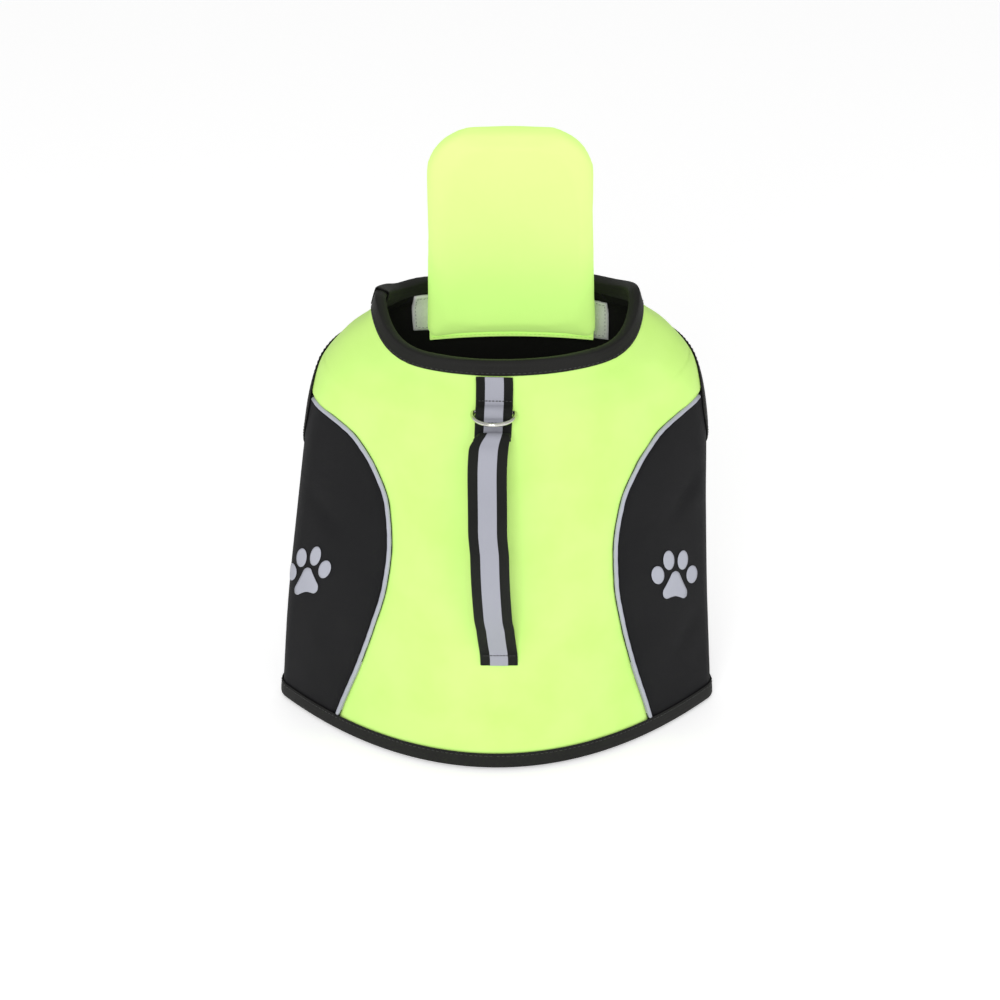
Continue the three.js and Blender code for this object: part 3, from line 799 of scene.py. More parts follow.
def tube(rings: Sequence[Sequence[Vector]], closed: bool) -> bmesh.types.BMesh:
    """Bends a grid round into a tube.

    Args:
        rings: rings of points along the tube, in millimetres.
        closed: whether the last ring joins the first. Else both ends are capped.

    Returns:
        The closed mesh, in metres.
    """
    count, sides = len(rings), len(rings[0])
    lengths = [0.0]
    for here, there in zip(rings, [*rings[1:], rings[0]]):
        lengths.append(lengths[-1] + (there[0] - here[0]).length)
    around = [0.0]
    for here, there in zip(rings[0], [*rings[0][1:], rings[0][0]]):
        around.append(around[-1] + (there - here).length)
    steps = count if closed else count - 1
    bm = patch(
        steps,
        sides,
        lambda i, j: rings[i % count][j % sides],
        lambda i, j: (lengths[i], around[j]),
    )
    bmesh.ops.remove_doubles(bm, verts=bm.verts, dist=MERGE_DISTANCE)
    if not closed:
        ends = [edge for edge in bm.edges if edge.is_boundary]
        bmesh.ops.holes_fill(bm, edges=ends, sides=0)
    bmesh.ops.recalc_face_normals(bm, faces=bm.faces)
    return bm


def catmull(points: Sequence[Vector], steps: int) -> list[Vector]:
    """Draws a smooth curve through points of any dimension.

    Args:
        points: the points.
        steps: the number of steps between two points.

    Returns:
        The points of the curve, both ends included.
    """
    curve: list[Vector] = []
    for i in range(len(points) - 1):
        before = points[max(i - 1, 0)]
        here, there = points[i], points[i + 1]
        after = points[min(i + 2, len(points) - 1)]
        for k in range(steps):
            t = k / steps
            curve.append(
                0.5
                * (
                    2 * here
                    + (there - before) * t
                    + (2 * before - 5 * here + 4 * there - after) * t**2
                    + (3 * here - before - 3 * there + after) * t**3
                )
            )
    curve.append(points[-1].copy())
    return curve


def thicken(piece: bpy.types.Object, thickness: float, offset: float, lined: bool) -> None:
    """Gives a bent grid its thickness.

    Args:
        piece: the piece, with its faces towards its outside.
        thickness: in millimetres.
        offset: from -1, inwards from the grid, to 1, outwards.
        lined: whether the inner face has the second material.
    """
    wall = piece.modifiers.new("wall", "SOLIDIFY")
    wall.thickness = thickness * MM
    wall.offset = offset
    wall.use_even_offset = True
    if lined:
        wall.material_offset = 1
        wall.material_offset_rim = 0


def face_outwards(bm: bmesh.types.BMesh, outwards: Callable[[Vector], Vector]) -> None:
    """Turns a bent grid's faces so that they point outwards.

    Args:
        bm: the grid.
        outwards: gives the outward direction at a point of it.
    """
    bm.normal_update()
    bm.faces.ensure_lookup_table()
    middle = bm.faces[len(bm.faces) // 2]
    if middle.normal.dot(outwards(middle.calc_center_median())) < 0:
        bmesh.ops.reverse_faces(bm, faces=bm.faces)


# The body's cloth


@dataclass
class Panel:
    """One cut panel between two seams, with a row of points at each height."""

    name: str
    start: Callable[[float], float]
    end: Callable[[float], float]
    heights: Sequence[float]
    columns: int
    finish: Finish
    edge_drop: float = 0.9
    edge_width: float = 3.0
    pucker: float = 0.32
    pucker_pitch: float = 11.0
    pucker_seed: float = 3.1

    def build(self, form: JacketForm) -> bpy.types.Object:
        """Bends the panel onto the form and sews it down along its edges.

        Args:
            form: the jacket's form.

        Returns:
            The panel, which replaces its CAD node.
        """
        spans = [
            tuple(sorted((self.start(height), self.end(height)))) for height in self.heights
        ]

        def chart(i: int, j: int) -> Place:
            """Gives the place on the cloth of a column and row."""
            start, end = spans[j]
            return start + (end - start) * i / self.columns, self.heights[j]

        def place(i: int, j: int) -> Vector:
            """Gives the point of a column and row."""
            distance, height = chart(i, j)
            start, end = spans[j]
            edge = min(distance - start, end - distance)
            near = math.exp(-((edge / self.edge_width) ** 2))
            wave = noise.noise(Vector((distance, height, self.pucker_seed)) / self.pucker_pitch)
            puckers = self.pucker * wave * math.exp(-edge / (3 * self.edge_width))
            return form.lifted(distance, height, puckers - self.edge_drop * near)

        bm = patch(self.columns, len(self.heights) - 1, place, chart)
        hem, _, _ = form.section(0)
        middle = (form.surface(0, ORIGIN_HEIGHT).y + hem.back_depth) * MM
        face_outwards(bm, lambda point: Vector((point.x, point.y - middle, 0)))
        piece = finished(f"{self.name}_cloth", bm, self.finish, LINING)
        thicken(piece, WALL, 0.0, lined=True)
        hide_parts(self.name)
        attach(piece, JACKET)
        return piece


def even(low: float, high: float, step: float) -> list[float]:
    """Gives even values from low to high, about a step apart, without the last."""
    count = max(round((high - low) / step), 1)
    return [low + (high - low) * i / count for i in range(count)]


@dataclass
class BodyCloth:
    """The four panels of the jacket's body."""

    form: JacketForm
    pattern: Pattern
    row_step: float = 2.6
    hole_step: float = 1.6
    horn_step: float = 0.7
    horn_start: float = 234.0
    back_columns: int = 110
    belly_columns: int = 90
    side_columns: int = 56

    def build(self) -> list[bpy.types.Object]:
        """Builds the panels.

        Returns:
            The four panels.
        """
        pattern, form = self.pattern, self.form
        low = even(0, pattern.hole_bottom, self.row_step)
        rise = even(pattern.hole_bottom, self.horn_start, self.hole_step)
        horn = [*even(self.horn_start, pattern.HORN_TOP, self.horn_step), pattern.HORN_TOP]
        join = even(pattern.HORN_TOP + self.horn_step, pattern.JOIN_HEIGHT, self.horn_step)
        above = even(pattern.JOIN_HEIGHT, pattern.hole_top, self.hole_step)
        top = [*even(pattern.hole_top, NECK_HEIGHT, self.row_step), NECK_HEIGHT]
        panels = [
            Panel(
                "back_panel",
                lambda h: CENTRE_BACK - pattern.back_edge(h),
                lambda h: CENTRE_BACK + pattern.back_edge(h),
                [*low, *rise, *horn, *join, *above, *top],
                self.back_columns,
                NEON_CLOTH,
            ),
            Panel(
                "belly_panel",
                lambda h: CENTRE_BACK + pattern.belly_edge(h),
                lambda h: CENTRE_BACK + 2 * form.half_girth(h) - pattern.belly_edge(h),
                [*low, *even(pattern.hole_bottom, pattern.hole_top, self.hole_step), *top],
                self.belly_columns,
                BLACK_CLOTH,
            ),
        ]
        for side in Side:
            panels.append(self.side_panel(side, [*low, *rise, *horn]))
        return [panel.build(form) for panel in panels]

    def side_panel(self, side: Side, heights: Sequence[float]) -> Panel:
        """Cuts the panel between the piping and the belly's seam.

        Args:
            side: the side of the jacket.
            heights: the heights of its rows.

        Returns:
            The panel.
        """
        pattern, sign = self.pattern, side.value
        return Panel(
            f"side_panel_{side.label}",
            lambda h: CENTRE_BACK + sign * pattern.side_near_edge(h),
            lambda h: CENTRE_BACK + sign * pattern.side_far_edge(h),
            heights,
            self.side_columns,
            BLACK_CLOTH,
        )


# Bindings and piping


@dataclass
class EdgeBinding:
    """Tape folded over a raw edge of the cloth."""

    name: str
    path: Callable[[float, float], Place]
    steps: int
    closed: bool
    width: float
    gap: float = 0.45
    tape: float = 0.9
    bulge: float = 0.2
    tuck: float = 0.2
    ripple: float = 0.18
    ripple_pitch: float = 0.21
    ripple_seed: float = 1.7
    stitch_inset: float = 1.6
    lap: float = 0.0
    face_steps: int = 6
    fold_steps: int = 10

    def profile(self) -> list[Place]:
        """Draws the folded tape's outline.

        Returns:
            Points as depth from the edge and lift from the middle of the wall.
        """
        inside = WALL / 2 + self.gap
        outside = inside + self.tape
        fold = self.gap + self.tape
        outer = [(self.width, inside), (self.width + self.tape / 3, inside + self.tape / 2)]
        for i in range(self.face_steps + 1):
            share = i / self.face_steps
            swell = self.bulge * math.sin(math.pi * share) - self.tuck * (1 - share)
            outer.append((self.width * (1 - share), outside + swell))
        turns = [math.pi * (0.5 - i / self.fold_steps) for i in range(1, self.fold_steps)]
        round_over = [(-fold * math.cos(turn), outside * math.sin(turn)) for turn in turns]
        inner = [(depth, -lift) for depth, lift in reversed(outer)]
        channel = [(-self.gap, -inside), (-self.gap, inside)]
        return [*outer, *round_over, *inner, *channel]

    def build(self, form: JacketForm) -> bpy.types.Object:
        """Bends the tape round the edge and sews it down.

        Args:
            form: the jacket's form.

        Returns:
            The binding, which replaces its CAD node.
        """
        profile = self.profile()
        count = self.steps if self.closed else self.steps + 1
        rings = []
        for i in range(count):
            t = i / self.steps
            raised = self.raised(t)
            seed = Vector((i * self.ripple_pitch, self.ripple_seed, self.width))
            ripple = self.ripple * noise.noise(seed)
            ring = []
            for depth, lift in profile:
                distance, height = self.path(t, depth - (raised if depth <= 0 else 0.0))
                away = math.copysign(raised + ripple * (depth > 0), lift)
                ring.append(form.lifted(distance, height, lift + away))
            rings.append(ring)
        piece = finished(f"{self.name}_tape", tube(rings, self.closed), BINDING_TAPE)
        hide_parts(self.name)
        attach(piece, JACKET)
        self.sew(form)
        return piece

    def raised(self, t: float) -> float:
        """Gives how far the tape's end lies over its start.

        Args:
            t: the share of the way along the tape.

        Returns:
            The rise in millimetres.
        """
        if not self.lap:
            return 0.0
        share = min(max((t - 1 + 1.8 * self.lap) / (0.8 * self.lap), 0.0), 1.0)
        return (self.tape + TOUCH_GAP) * share * share * (3 - 2 * share)

    def sew(self, form: JacketForm) -> bpy.types.Object:
        """Sews one row of stitches along the tape's inner edge.

        Args:
            form: the jacket's form.

        Returns:
            The row of stitches.
        """
        lift = WALL / 2 + self.gap + self.tape + THREAD_LIFT
        depth = self.width - self.stitch_inset
        fine = LINE_STEPS * self.steps
        places = [self.path(i / fine, depth) for i in range(fine)]
        return SeamRow(f"{self.name}_stitches", BLACK_THREAD).along_cloth(form, places, lift)


@dataclass
class SeamRow:
    """A row of stitches on one piece."""

    name: str
    finish: Finish
    pitch: float = 3.4
    length: float = 2.5
    thread: float = 0.5
    segments: int = 6
    rings: int = 5

    def along_cloth(
        self, form: JacketForm, places: Sequence[Place], lift: float
    ) -> bpy.types.Object:
        """Sews along a line on the cloth.

        Args:
            form: the jacket's form.
            places: the line's places, close together.
            lift: outwards from the middle of the wall.

        Returns:
            The row of stitches.
        """
        points = [form.lifted(distance, height, lift) for distance, height in places]
        normals = [form.frame(distance, height).normal for distance, height in places]
        return self.along(points, normals)

    def along(self, points: Sequence[Vector], normals: Sequence[Vector]) -> bpy.types.Object:
        """Sews along a line in space.

        Args:
            points: the line's points, close together.
            normals: the outward direction at each point.

        Returns:
            The row of stitches.
        """
        bm = bmesh.new()
        due = self.pitch / 2
        for here, there, normal in zip(points, points[1:], normals):
            step = (there - here).length
            due -= step
            if due > 0 or step == 0:
                continue
            due += self.pitch
            way = (there - here).normalized()
            side = normal.cross(way).normalized()
            out = way.cross(side)
            turn = Matrix((way, side, out)).transposed()
            half = Vector((self.length, self.thread, self.thread)) * MM / 2
            place = Matrix.LocRotScale(here * MM, turn.to_quaternion(), half)
            bmesh.ops.create_uvsphere(
                bm, u_segments=self.segments, v_segments=self.rings, radius=1.0, matrix=place
            )
        piece = finished(self.name, bm, self.finish)
        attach(piece, JACKET)
        return piece


@dataclass
class Piping:
    """Round reflective cord sewn into the seam between the back and side panels."""

    side: Side
    radius: float = 1.5
    sides: int = 14
    foot: float = 11.3
    bend: float = 226.0
    head: float = 243.2
    row_step: float = 2.2
    bend_step: float = 0.7
    unevenness: float = 0.04
    unevenness_rate: float = 1.3

    def build(self, form: JacketForm, pattern: Pattern) -> bpy.types.Object:
        """Lays the cord from the hem's binding to the leg hole's.

        Args:
            form: the jacket's form.
            pattern: the seams.

        Returns:
            The cord, which replaces its CAD node.
        """
        sign = self.side.value
        straight = even(self.foot, self.bend, self.row_step)
        heights = [*straight, *even(self.bend, self.head, self.bend_step), self.head]
        places = [(CENTRE_BACK + sign * pattern.piping(height), height) for height in heights]
        centres = [form.lifted(distance, height, WALL / 2) for distance, height in places]
        rings = []
        for i, centre in enumerate(centres):
            along = centres[min(i + 1, len(centres) - 1)] - centres[max(i - 1, 0)]
            out = form.frame(*places[i]).normal
            across = along.cross(out).normalized()
            radius = self.radius * (1 + self.unevenness * math.sin(i * self.unevenness_rate))
            turns = [2 * math.pi * k / self.sides for k in range(self.sides)]
            rings.append(
                [centre + (across * math.cos(a) + out * math.sin(a)) * radius for a in turns]
            )
        node = f"piping_{self.side.label}"
        piece = finished(f"{node}_cord", tube(rings, closed=False), REFLECTIVE)
        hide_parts(node)
        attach(piece, JACKET)
        return piece


@dataclass
class Trim:
    """The bindings and the piping."""

    form: JacketForm
    pattern: Pattern
    neck_width: float = 10.5
    hem_width: float = 10.5
    leg_width: float = 6.8
    neck_lap_place: float = 0.31
    neck_lap: float = 0.035
    neck_steps: int = 180
    hem_steps: int = 280
    leg_steps: int = 130

    def neck_path(self, t: float, depth: float) -> Place:
        """Gives a place on the neck's edge, from the lap round to the lap.

        Args:
            t: the share of the way along the tape.
            depth: from the edge into the cloth.

        Returns:
            The distance and height.
        """
        height = NECK_HEIGHT - depth
        share = -self.neck_lap_place + t * (1 + self.neck_lap)
        return 2 * self.form.half_girth(height) * share, height

    def hem_path(self, t: float, depth: float) -> Place:
        """Gives a place on the hem's edge, with t and depth as at the neck."""
        return 2 * self.form.half_girth(depth) * t, depth

    def leg_path(self, side: Side) -> Callable[[float, float], Place]:
        """Gives the path round one leg hole.

        Args:
            side: the side of the jacket.

        Returns:
            A function of the share of the way round and the depth from the edge.
        """
        pattern = self.pattern

        def path(t: float, depth: float) -> Place:
            """Gives the place at a share of the way round and a depth from the edge."""
            angle = 2 * math.pi * t
            rise = (pattern.HOLE_HALF_HEIGHT + depth) * math.sin(angle)
            away = (pattern.HOLE_HALF_WIDTH + depth) * math.cos(angle) - pattern.HOLE_LEAN * rise
            distance = CENTRE_BACK + side.value * (pattern.HOLE_DISTANCE + away)
            return distance, pattern.HOLE_HEIGHT + rise

        return path

    def build(self) -> None:
        """Sews on the bindings and lays in the piping."""
        neck = EdgeBinding(
            "neck_binding", self.neck_path, self.neck_steps, False, self.neck_width,
            lap=self.neck_lap,
        )
        hem = EdgeBinding("hem_binding", self.hem_path, self.hem_steps, True, self.hem_width)
        bindings = [neck, hem]
        for side in Side:
            name = f"leg_binding_{side.label}"
            bindings.append(
                EdgeBinding(name, self.leg_path(side), self.leg_steps, True, self.leg_width)
            )
            Piping(side).build(self.form, self.pattern)
        for binding in bindings:
            binding.build(self.form)


# Webbing on the back


@dataclass(frozen=True)
class Band:
    """A flat band's width and thickness, and how far its middle lies off its rows."""

    width: float
    thickness: float
    out: float = 0.0
    face_steps: int = 8
    edge_turns: tuple[int, ...] = (-60, -30, 0, 30, 60)

    def outline(self) -> list[Place]:
        """Draws the band's section with round edges.

        Returns:
            Points across and out from the rows.
        """
        half, radius = self.width / 2, self.thickness / 2
        flat = [2 * i / self.face_steps - 1 for i in range(self.face_steps + 1)]
        low = [((half - radius) * share, -radius) for share in flat]
        turns = [math.radians(turn) for turn in self.edge_turns]
        right = [(half - radius + radius * math.cos(a), radius * math.sin(a)) for a in turns]
        high = [(-x, -y) for x, y in low]
        left = [(-x, -y) for x, y in right]
        return [(x, y + self.out) for x, y in (*low, *right, *high, *left)]


@dataclass
class BackWebbing:
    """The neck strap, the handle, their reflective tapes and their stitches.

    Rows of a band are its heights above the hem, its lifts off the cloth and the places of its
    middle. The first rows of the handle are its end under the fold, behind the rest.
    """

    form: JacketForm
    band: Band = Band(24.0, 1.8)
    handle_band: Band = Band(25.4, 1.8)
    tape: Band = Band(12.2, 0.3, 1.12)
    strap_top: float = 301.4
    strap_foot: float = 252.0
    rest_lift: float = 1.2
    channel_lift: float = 4.6
    upper_stitches: float = 282.6
    lower_stitches: float = 264.6
    end_stitches: float = 89.5
    end_rows: int = 4
    stitch_margin: float = 1.5
    stitch_lift: float = 0.12
    stitch_steps: int = 120
    stitch_search: int = 10
    smooth_steps: int = 6
    handle_rows: tuple[tuple[float, float, float], ...] = (
        (250.2, 3.3, -13.4), (253.6, 4.6, -13.6), (256.0, 6.8, -13.7), (257.0, 9.7, -13.8),
        (255.6, 12.4, -13.9), (251.6, 14.4, -14.1), (243, 17.8, -14.3), (225, 21.2, -14.0),
        (200, 23.8, -12.7), (175, 24.2, -11.3), (150, 21.8, -9.6), (128, 16.8, -7.4),
        (111, 10.4, -5.3), (99, 4.8, -3.5), (92.5, 2.2, -2.4), (87, 1.5, -1.7), (81.5, 1.2, -1.3),
    )
    tape_start: int = 3
    fold_start: float = 246.0
    fold_height: float = 11.0
    fold_pinch: float = 5.5

    def strap_rows(self) -> list[Vector]:
        """Lays the neck strap, with a channel over the D-ring's bar.

        Returns:
            Rows of height, lift and centre.
        """
        ring, rest, channel = RING_HEIGHT, self.rest_lift, self.channel_lift
        profile = [
            (self.strap_top, rest), (294, rest), (288, rest), (ring + 9, rest),
            (ring + 5.5, rest + 0.9), (ring + 2.4, channel), (ring - 2.4, channel),
            (ring - 5.5, rest + 0.9), (ring - 9, rest), (256, rest), (self.strap_foot, rest),
        ]
        return [Vector((height, lift, STRAP_CENTRE)) for height, lift in profile]

    def ribbon(self, rows: Sequence[Vector], band: Band, pinch: float) -> bmesh.types.BMesh:
        """Sweeps a band along rows.

        Args:
            rows: rows of height, lift and centre.
            band: the band.
            pinch: how far its left edge draws in at the handle's fold.

        Returns:
            The band's mesh.
        """
        fine = catmull(rows, self.smooth_steps)
        middles, frames = self.spine(fine)
        outline = band.outline()
        rings = []
        for row, middle, (across, face) in zip(fine, middles, frames):
            fold = max((row.x - self.fold_start) / self.fold_height, 0.0)
            draw = pinch * fold * fold
            rings.append([
                middle + across * (x + draw * (0.5 - x / self.handle_band.width)) + face * y
                for x, y in outline
            ])
        return tube(rings, closed=False)

    def spine(self, rows: Sequence[Vector]) -> tuple[list[Vector], list[tuple[Vector, Vector]]]:
        """Works out the middle of a band and its directions at each row.

        Args:
            rows: rows of height, lift and centre.

        Returns:
            The middle points, and the directions across and out of the band's face.
        """
        middles = [self.form.lifted(row.z, row.x, row.y + WALL / 2) for row in rows]
        frames = []
        for i, row in enumerate(rows):
            along = middles[min(i + 1, len(rows) - 1)] - middles[max(i - 1, 0)]
            across = self.form.frame(row.z, row.x).across
            frames.append((across, along.normalized().cross(across).normalized()))
        return middles, frames

    def build(self) -> None:
        """Sews the strap, the handle and their tapes on."""
        strap = self.strap_rows()
        handle = [Vector(row) for row in self.handle_rows]
        parts = (
            ("neck_strap", "webbing", strap, self.band, 0.0, WEBBING),
            ("neck_strap_tape", "reflective", strap, self.tape, 0.0, REFLECTIVE_TAPE),
            ("handle", "webbing", handle, self.handle_band, self.fold_pinch, WEBBING),
            (
                "handle_tape", "reflective", handle[self.tape_start :], self.tape,
                self.fold_pinch, REFLECTIVE_TAPE,
            ),
        )
        for node, ending, rows, band, pinch, finish in parts:
            piece = finished(f"{node}_{ending}", self.ribbon(rows, band, pinch), finish)
            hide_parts(node)
            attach(piece, JACKET)
        self.sew_across("strap_upper_stitches", strap, self.upper_stitches)
        self.sew_across("strap_lower_stitches", strap, self.lower_stitches)
        self.sew_across("handle_end_stitches", handle[-self.end_rows :], self.end_stitches)

    def sew_across(self, name: str, rows: Sequence[Vector], height: float) -> None:
        """Sews a row of stitches across a band.

        Args:
            name: the row's name.
            rows: the band's rows.
            height: the height over the hem that the row lies nearest to.
        """
        fine = catmull(rows, self.stitch_search)
        middles, frames = self.spine(fine)
        i = min(range(len(fine)), key=lambda k: abs(fine[k].x - height))
        across, face = frames[i]
        reach = self.band.width / 2 - self.stitch_margin
        lift = self.tape.out + self.tape.thickness / 2 + self.stitch_lift
        shares = [2 * k / self.stitch_steps - 1 for k in range(self.stitch_steps + 1)]
        points = [middles[i] + across * (reach * share) + face * lift for share in shares]
        row = SeamRow(name, BLACK_THREAD, pitch=2.2, length=2.0, thread=0.7)
        row.along(points, [face] * len(points))


@dataclass
class DRing:
    """The wire D-ring, whose straight bar runs through the strap's channel."""

    wire: float = 1.3
    bar: float = 25.0
    reach: float = 17.5
    foot: float = 3.0
    corner: float = 1.6
    droop: float = 25.0
    bow_steps: int = 40
    corner_steps: int = 6
    bar_steps: int = 6
    sides: int = 16

    def path(self) -> list[Place]:
        """Draws the middle of the wire.

        Returns:
            Points of the closed line, across the ring and out from its bar.
        """
        arm = self.bar / 2 + self.wire
        rise = self.reach - self.foot
        angles = [math.pi * i / self.bow_steps for i in range(self.bow_steps + 1)]
        bow = [(arm * math.cos(angle), self.foot + rise * math.sin(angle)) for angle in angles]
        turns = [math.pi * (1 + i / (2 * self.corner_steps)) for i in range(self.corner_steps + 1)]
        flat = arm - self.corner
        left = [(self.corner * math.cos(a) - flat, self.corner * (1 + math.sin(a))) for a in turns]
        bar = [(flat * (i / self.bar_steps - 1), 0.0) for i in range(1, self.bar_steps + 1)]
        half = [*left, *bar]
        return [*bow, *half, *((-x, y) for x, y in reversed(half[:-1]))]

    def build(self, form: JacketForm) -> bpy.types.Object:
        """Bends the wire through the strap's channel, with the bow hanging a little.

        Args:
            form: the jacket's form.

        Returns:
            The ring, which replaces its CAD node.
        """
        frame = form.frame(STRAP_CENTRE, RING_HEIGHT)
        lift = WALL / 2 + 2 * TOUCH_GAP + self.wire
        centre = form.flat_lifted(STRAP_CENTRE, RING_HEIGHT, lift)
        angle = math.radians(self.droop)
        out = frame.normal * math.cos(angle) - frame.up * math.sin(angle)
        side = frame.across.cross(out).normalized()
        turns = [2 * math.pi * (k + 0.5) / self.sides for k in range(self.sides)]
        path = self.path()
        rings = []
        for i, (x, y) in enumerate(path):
            (x0, y0), (x1, y1) = path[i - 1], path[(i + 1) % len(path)]
            way = Vector((x1 - x0, y1 - y0)).normalized()
            middle = centre + frame.across * x + out * y
            beside = frame.across * way.y - out * way.x
            rings.append(
                [middle + (beside * math.cos(a) + side * math.sin(a)) * self.wire for a in turns]
            )
        piece = finished("d_ring_wire", tube(rings, closed=True), NICKEL)
        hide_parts("d_ring")
        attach(piece, RING)
        return piece


# Chin float and its fastener


@dataclass
class ChinFloat:
    """The padded float, its sewn edge and the hook strip behind it."""

    centre_x: float = 8.0
    back_y: float = 45.5
    bottom: float = 263.0
    height: float = 149.5
    bottom_width: float = 114.0
    top_width: float = 108.0
    top_shift: float = -1.6
    slack: float = 1.9
    crown: float = 2.6
    overhang: float = 0.8
    rim: float = 3.8
    thickness: float = 13.0
    bend_radius: float = 240.0
    top_radius: float = 27.0
    bottom_radius: float = 8.0
    edge_round: float = 9.0
    flange_height: float = 3.3
    flange_thickness: float = 2.0
    fullness: float = 0.8
    voxel: float = 1.8
    pressure: float = 4.0
    frames: int = 20
    swell_cap: float = 1.6
    smoothing: int = 5
    columns: int = 44
    rows: int = 54
    hook_half: float = 46.0
    hook_low: float = 266.5
    hook_high: float = 286.0
    hook_thickness: float = 1.6
    hook_wave: float = 0.25
    stitch_rise: float = 1.8
    stitch_margin: float = 1.4

    def point(self, form: JacketForm, x: float, z: float, out: float) -> Vector:
        """Gives a point of the float.

        Args:
            form: the jacket's form, for its offset.
            x: across from the float's middle.
            z: above the hem.
            out: from the back sheet towards the back panel.

        Returns:
            The point in millimetres, in the part's frame.
        """
        bend = self.bend_radius - math.sqrt(self.bend_radius**2 - x**2)
        return Vector((self.centre_x + x, self.back_y - out - bend, z)) + form.offset

    def half_width(self, rise: float) -> float:
        """Gives half the pad's width at a height over its lower edge."""
        height = self.height - self.flange_height
        half = (self.bottom_width + (self.top_width - self.bottom_width) * rise / height) / 2
        top = max(rise - (height - self.top_radius), 0)
        low = max(self.bottom_radius - rise, 0)
        cut_top = self.top_radius - math.sqrt(max(self.top_radius**2 - top**2, 0))
        cut_low = self.bottom_radius - math.sqrt(max(self.bottom_radius**2 - low**2, 0))
        return half - cut_top - cut_low

    def build(self, form: JacketForm) -> None:
        """Fills the pad, sews its edge and lays the hook strip behind it.

        Args:
            form: the jacket's form.
        """
        # The pad and its sewn edge have the neon pad finish with its painted glow.
        pad = finished("chin_float_pad", self.pad_mesh(form), NEON_PAD_PAINTED_GLOW)
        self.fill(pad)
        smooth = pad.modifiers.new("smooth", "SUBSURF")
        smooth.levels = smooth.render_levels = 1
        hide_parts("chin_float")
        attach(pad, JACKET)
        self.sew_flange(form)
        self.lay_hooks(form)

    def pad_mesh(self, form: JacketForm) -> bmesh.types.BMesh:
        """Bends a front and a back sheet into the closed pad.

        Args:
            form: the jacket's form.

        Returns:
            The pad's mesh.
        """
        height = self.height - self.flange_height + self.overhang + self.slack / 2

        def chart(i: int, j: int) -> Place:
            """Gives the place on the cloth of a column and row."""
            rise = height * j / self.rows
            half = self.half_width(rise) + self.slack
            return half * (2 * i / self.columns - 1), rise

        def sheet(front: bool) -> Callable[[int, int], Vector]:
            """Gives the function that places the points of the front or the back sheet."""
            def place(i: int, j: int) -> Vector:
                """Gives the point of a column and row."""
                x, rise = chart(i, j)
                side = self.half_width(rise) + self.slack - abs(x)
                inset = max(min(side, rise, height - rise), 0.0)
                share = min(inset / self.edge_round, 1.0)
                full = math.sqrt(max(1 - (1 - share) ** 2, 0.0))
                swell = (self.thickness - self.rim) * full
                out = self.rim + swell if front else self.rim * (1 - full)
                up = rise / height
                middle = 1 - (x / (self.bottom_width / 2)) ** 2
                z = self.bottom + self.flange_height - self.overhang + rise
                return self.point(
                    form, x + self.top_shift * up, z + self.crown * middle * up**3, out
                )

            return place

        bm = patch(self.columns, self.rows, sheet(True), chart)
        join(bm, patch(self.columns, self.rows, sheet(False), chart))
        bmesh.ops.remove_doubles(bm, verts=bm.verts, dist=1e-6)
        bmesh.ops.recalc_face_normals(bm, faces=bm.faces)
        return bm

    def fill(self, pad: bpy.types.Object) -> None:
        """Fills the pad with a short cloth simulation, caps its swelling and smooths it.

        Args:
            pad: the closed pad.
        """
        scene = bpy.context.scene
        bpy.context.view_layer.objects.active = pad
        voxels = pad.modifiers.new("voxels", "REMESH")
        voxels.mode = "VOXEL"
        voxels.voxel_size = self.voxel * MM
        voxels.use_smooth_shade = True
        self.apply(pad, "voxels")
        start = [vertex.co.copy() for vertex in pad.data.vertices]
        cloth = pad.modifiers.new("cloth", "CLOTH")
        cloth.settings.use_pressure = True
        cloth.settings.uniform_pressure_force = self.pressure
        cloth.settings.effector_weights.gravity = 0.0
        cloth.point_cache.frame_start = 1
        cloth.point_cache.frame_end = self.frames
        for frame in range(1, self.frames + 1):
            scene.frame_set(frame)
        self.apply(pad, "cloth")
        scene.frame_set(1)
        cap = self.swell_cap * MM
        for vertex, rest in zip(pad.data.vertices, start):
            moved = vertex.co - rest
            if moved.length > cap:
                vertex.co = rest + moved.normalized() * cap
        bm = bmesh.new()
        bm.from_mesh(pad.data)
        for _ in range(self.smoothing):
            bmesh.ops.smooth_vert(
                bm, verts=bm.verts, factor=0.5, use_axis_x=True, use_axis_y=True, use_axis_z=True
            )
        bm.to_mesh(pad.data)
        bm.free()

    @staticmethod
    def apply(piece: bpy.types.Object, name: str) -> None:
        """Applies one modifier of a piece."""
        with bpy.context.temp_override(object=piece, active_object=piece):
            bpy.ops.object.modifier_apply(modifier=name)

    def sew_flange(self, form: JacketForm) -> None:
        """Sews the edge under the pad and round its lower corners, with a row of stitches.

        Args:
            form: the jacket's form.
        """
        half = self.bottom_width / 2 - 2 * TOUCH_GAP
        low = self.bottom_radius
        columns, rows = 96, 4

        def chart(i: int, j: int) -> Place:
            """Gives the place on the cloth of a column and row."""
            x = half * (2 * i / columns - 1)
            inside = min(max(abs(x) - (self.bottom_width / 2 - low), 0.0), low)
            corner = low - math.sqrt(low * low - inside * inside)
            high = self.flange_height - TOUCH_GAP + corner
            return x, self.bottom + high * j / rows

        def place(i: int, j: int) -> Vector:
            """Gives the point of a column and row."""
            return self.point(form, *chart(i, j), self.flange_thickness / 2)

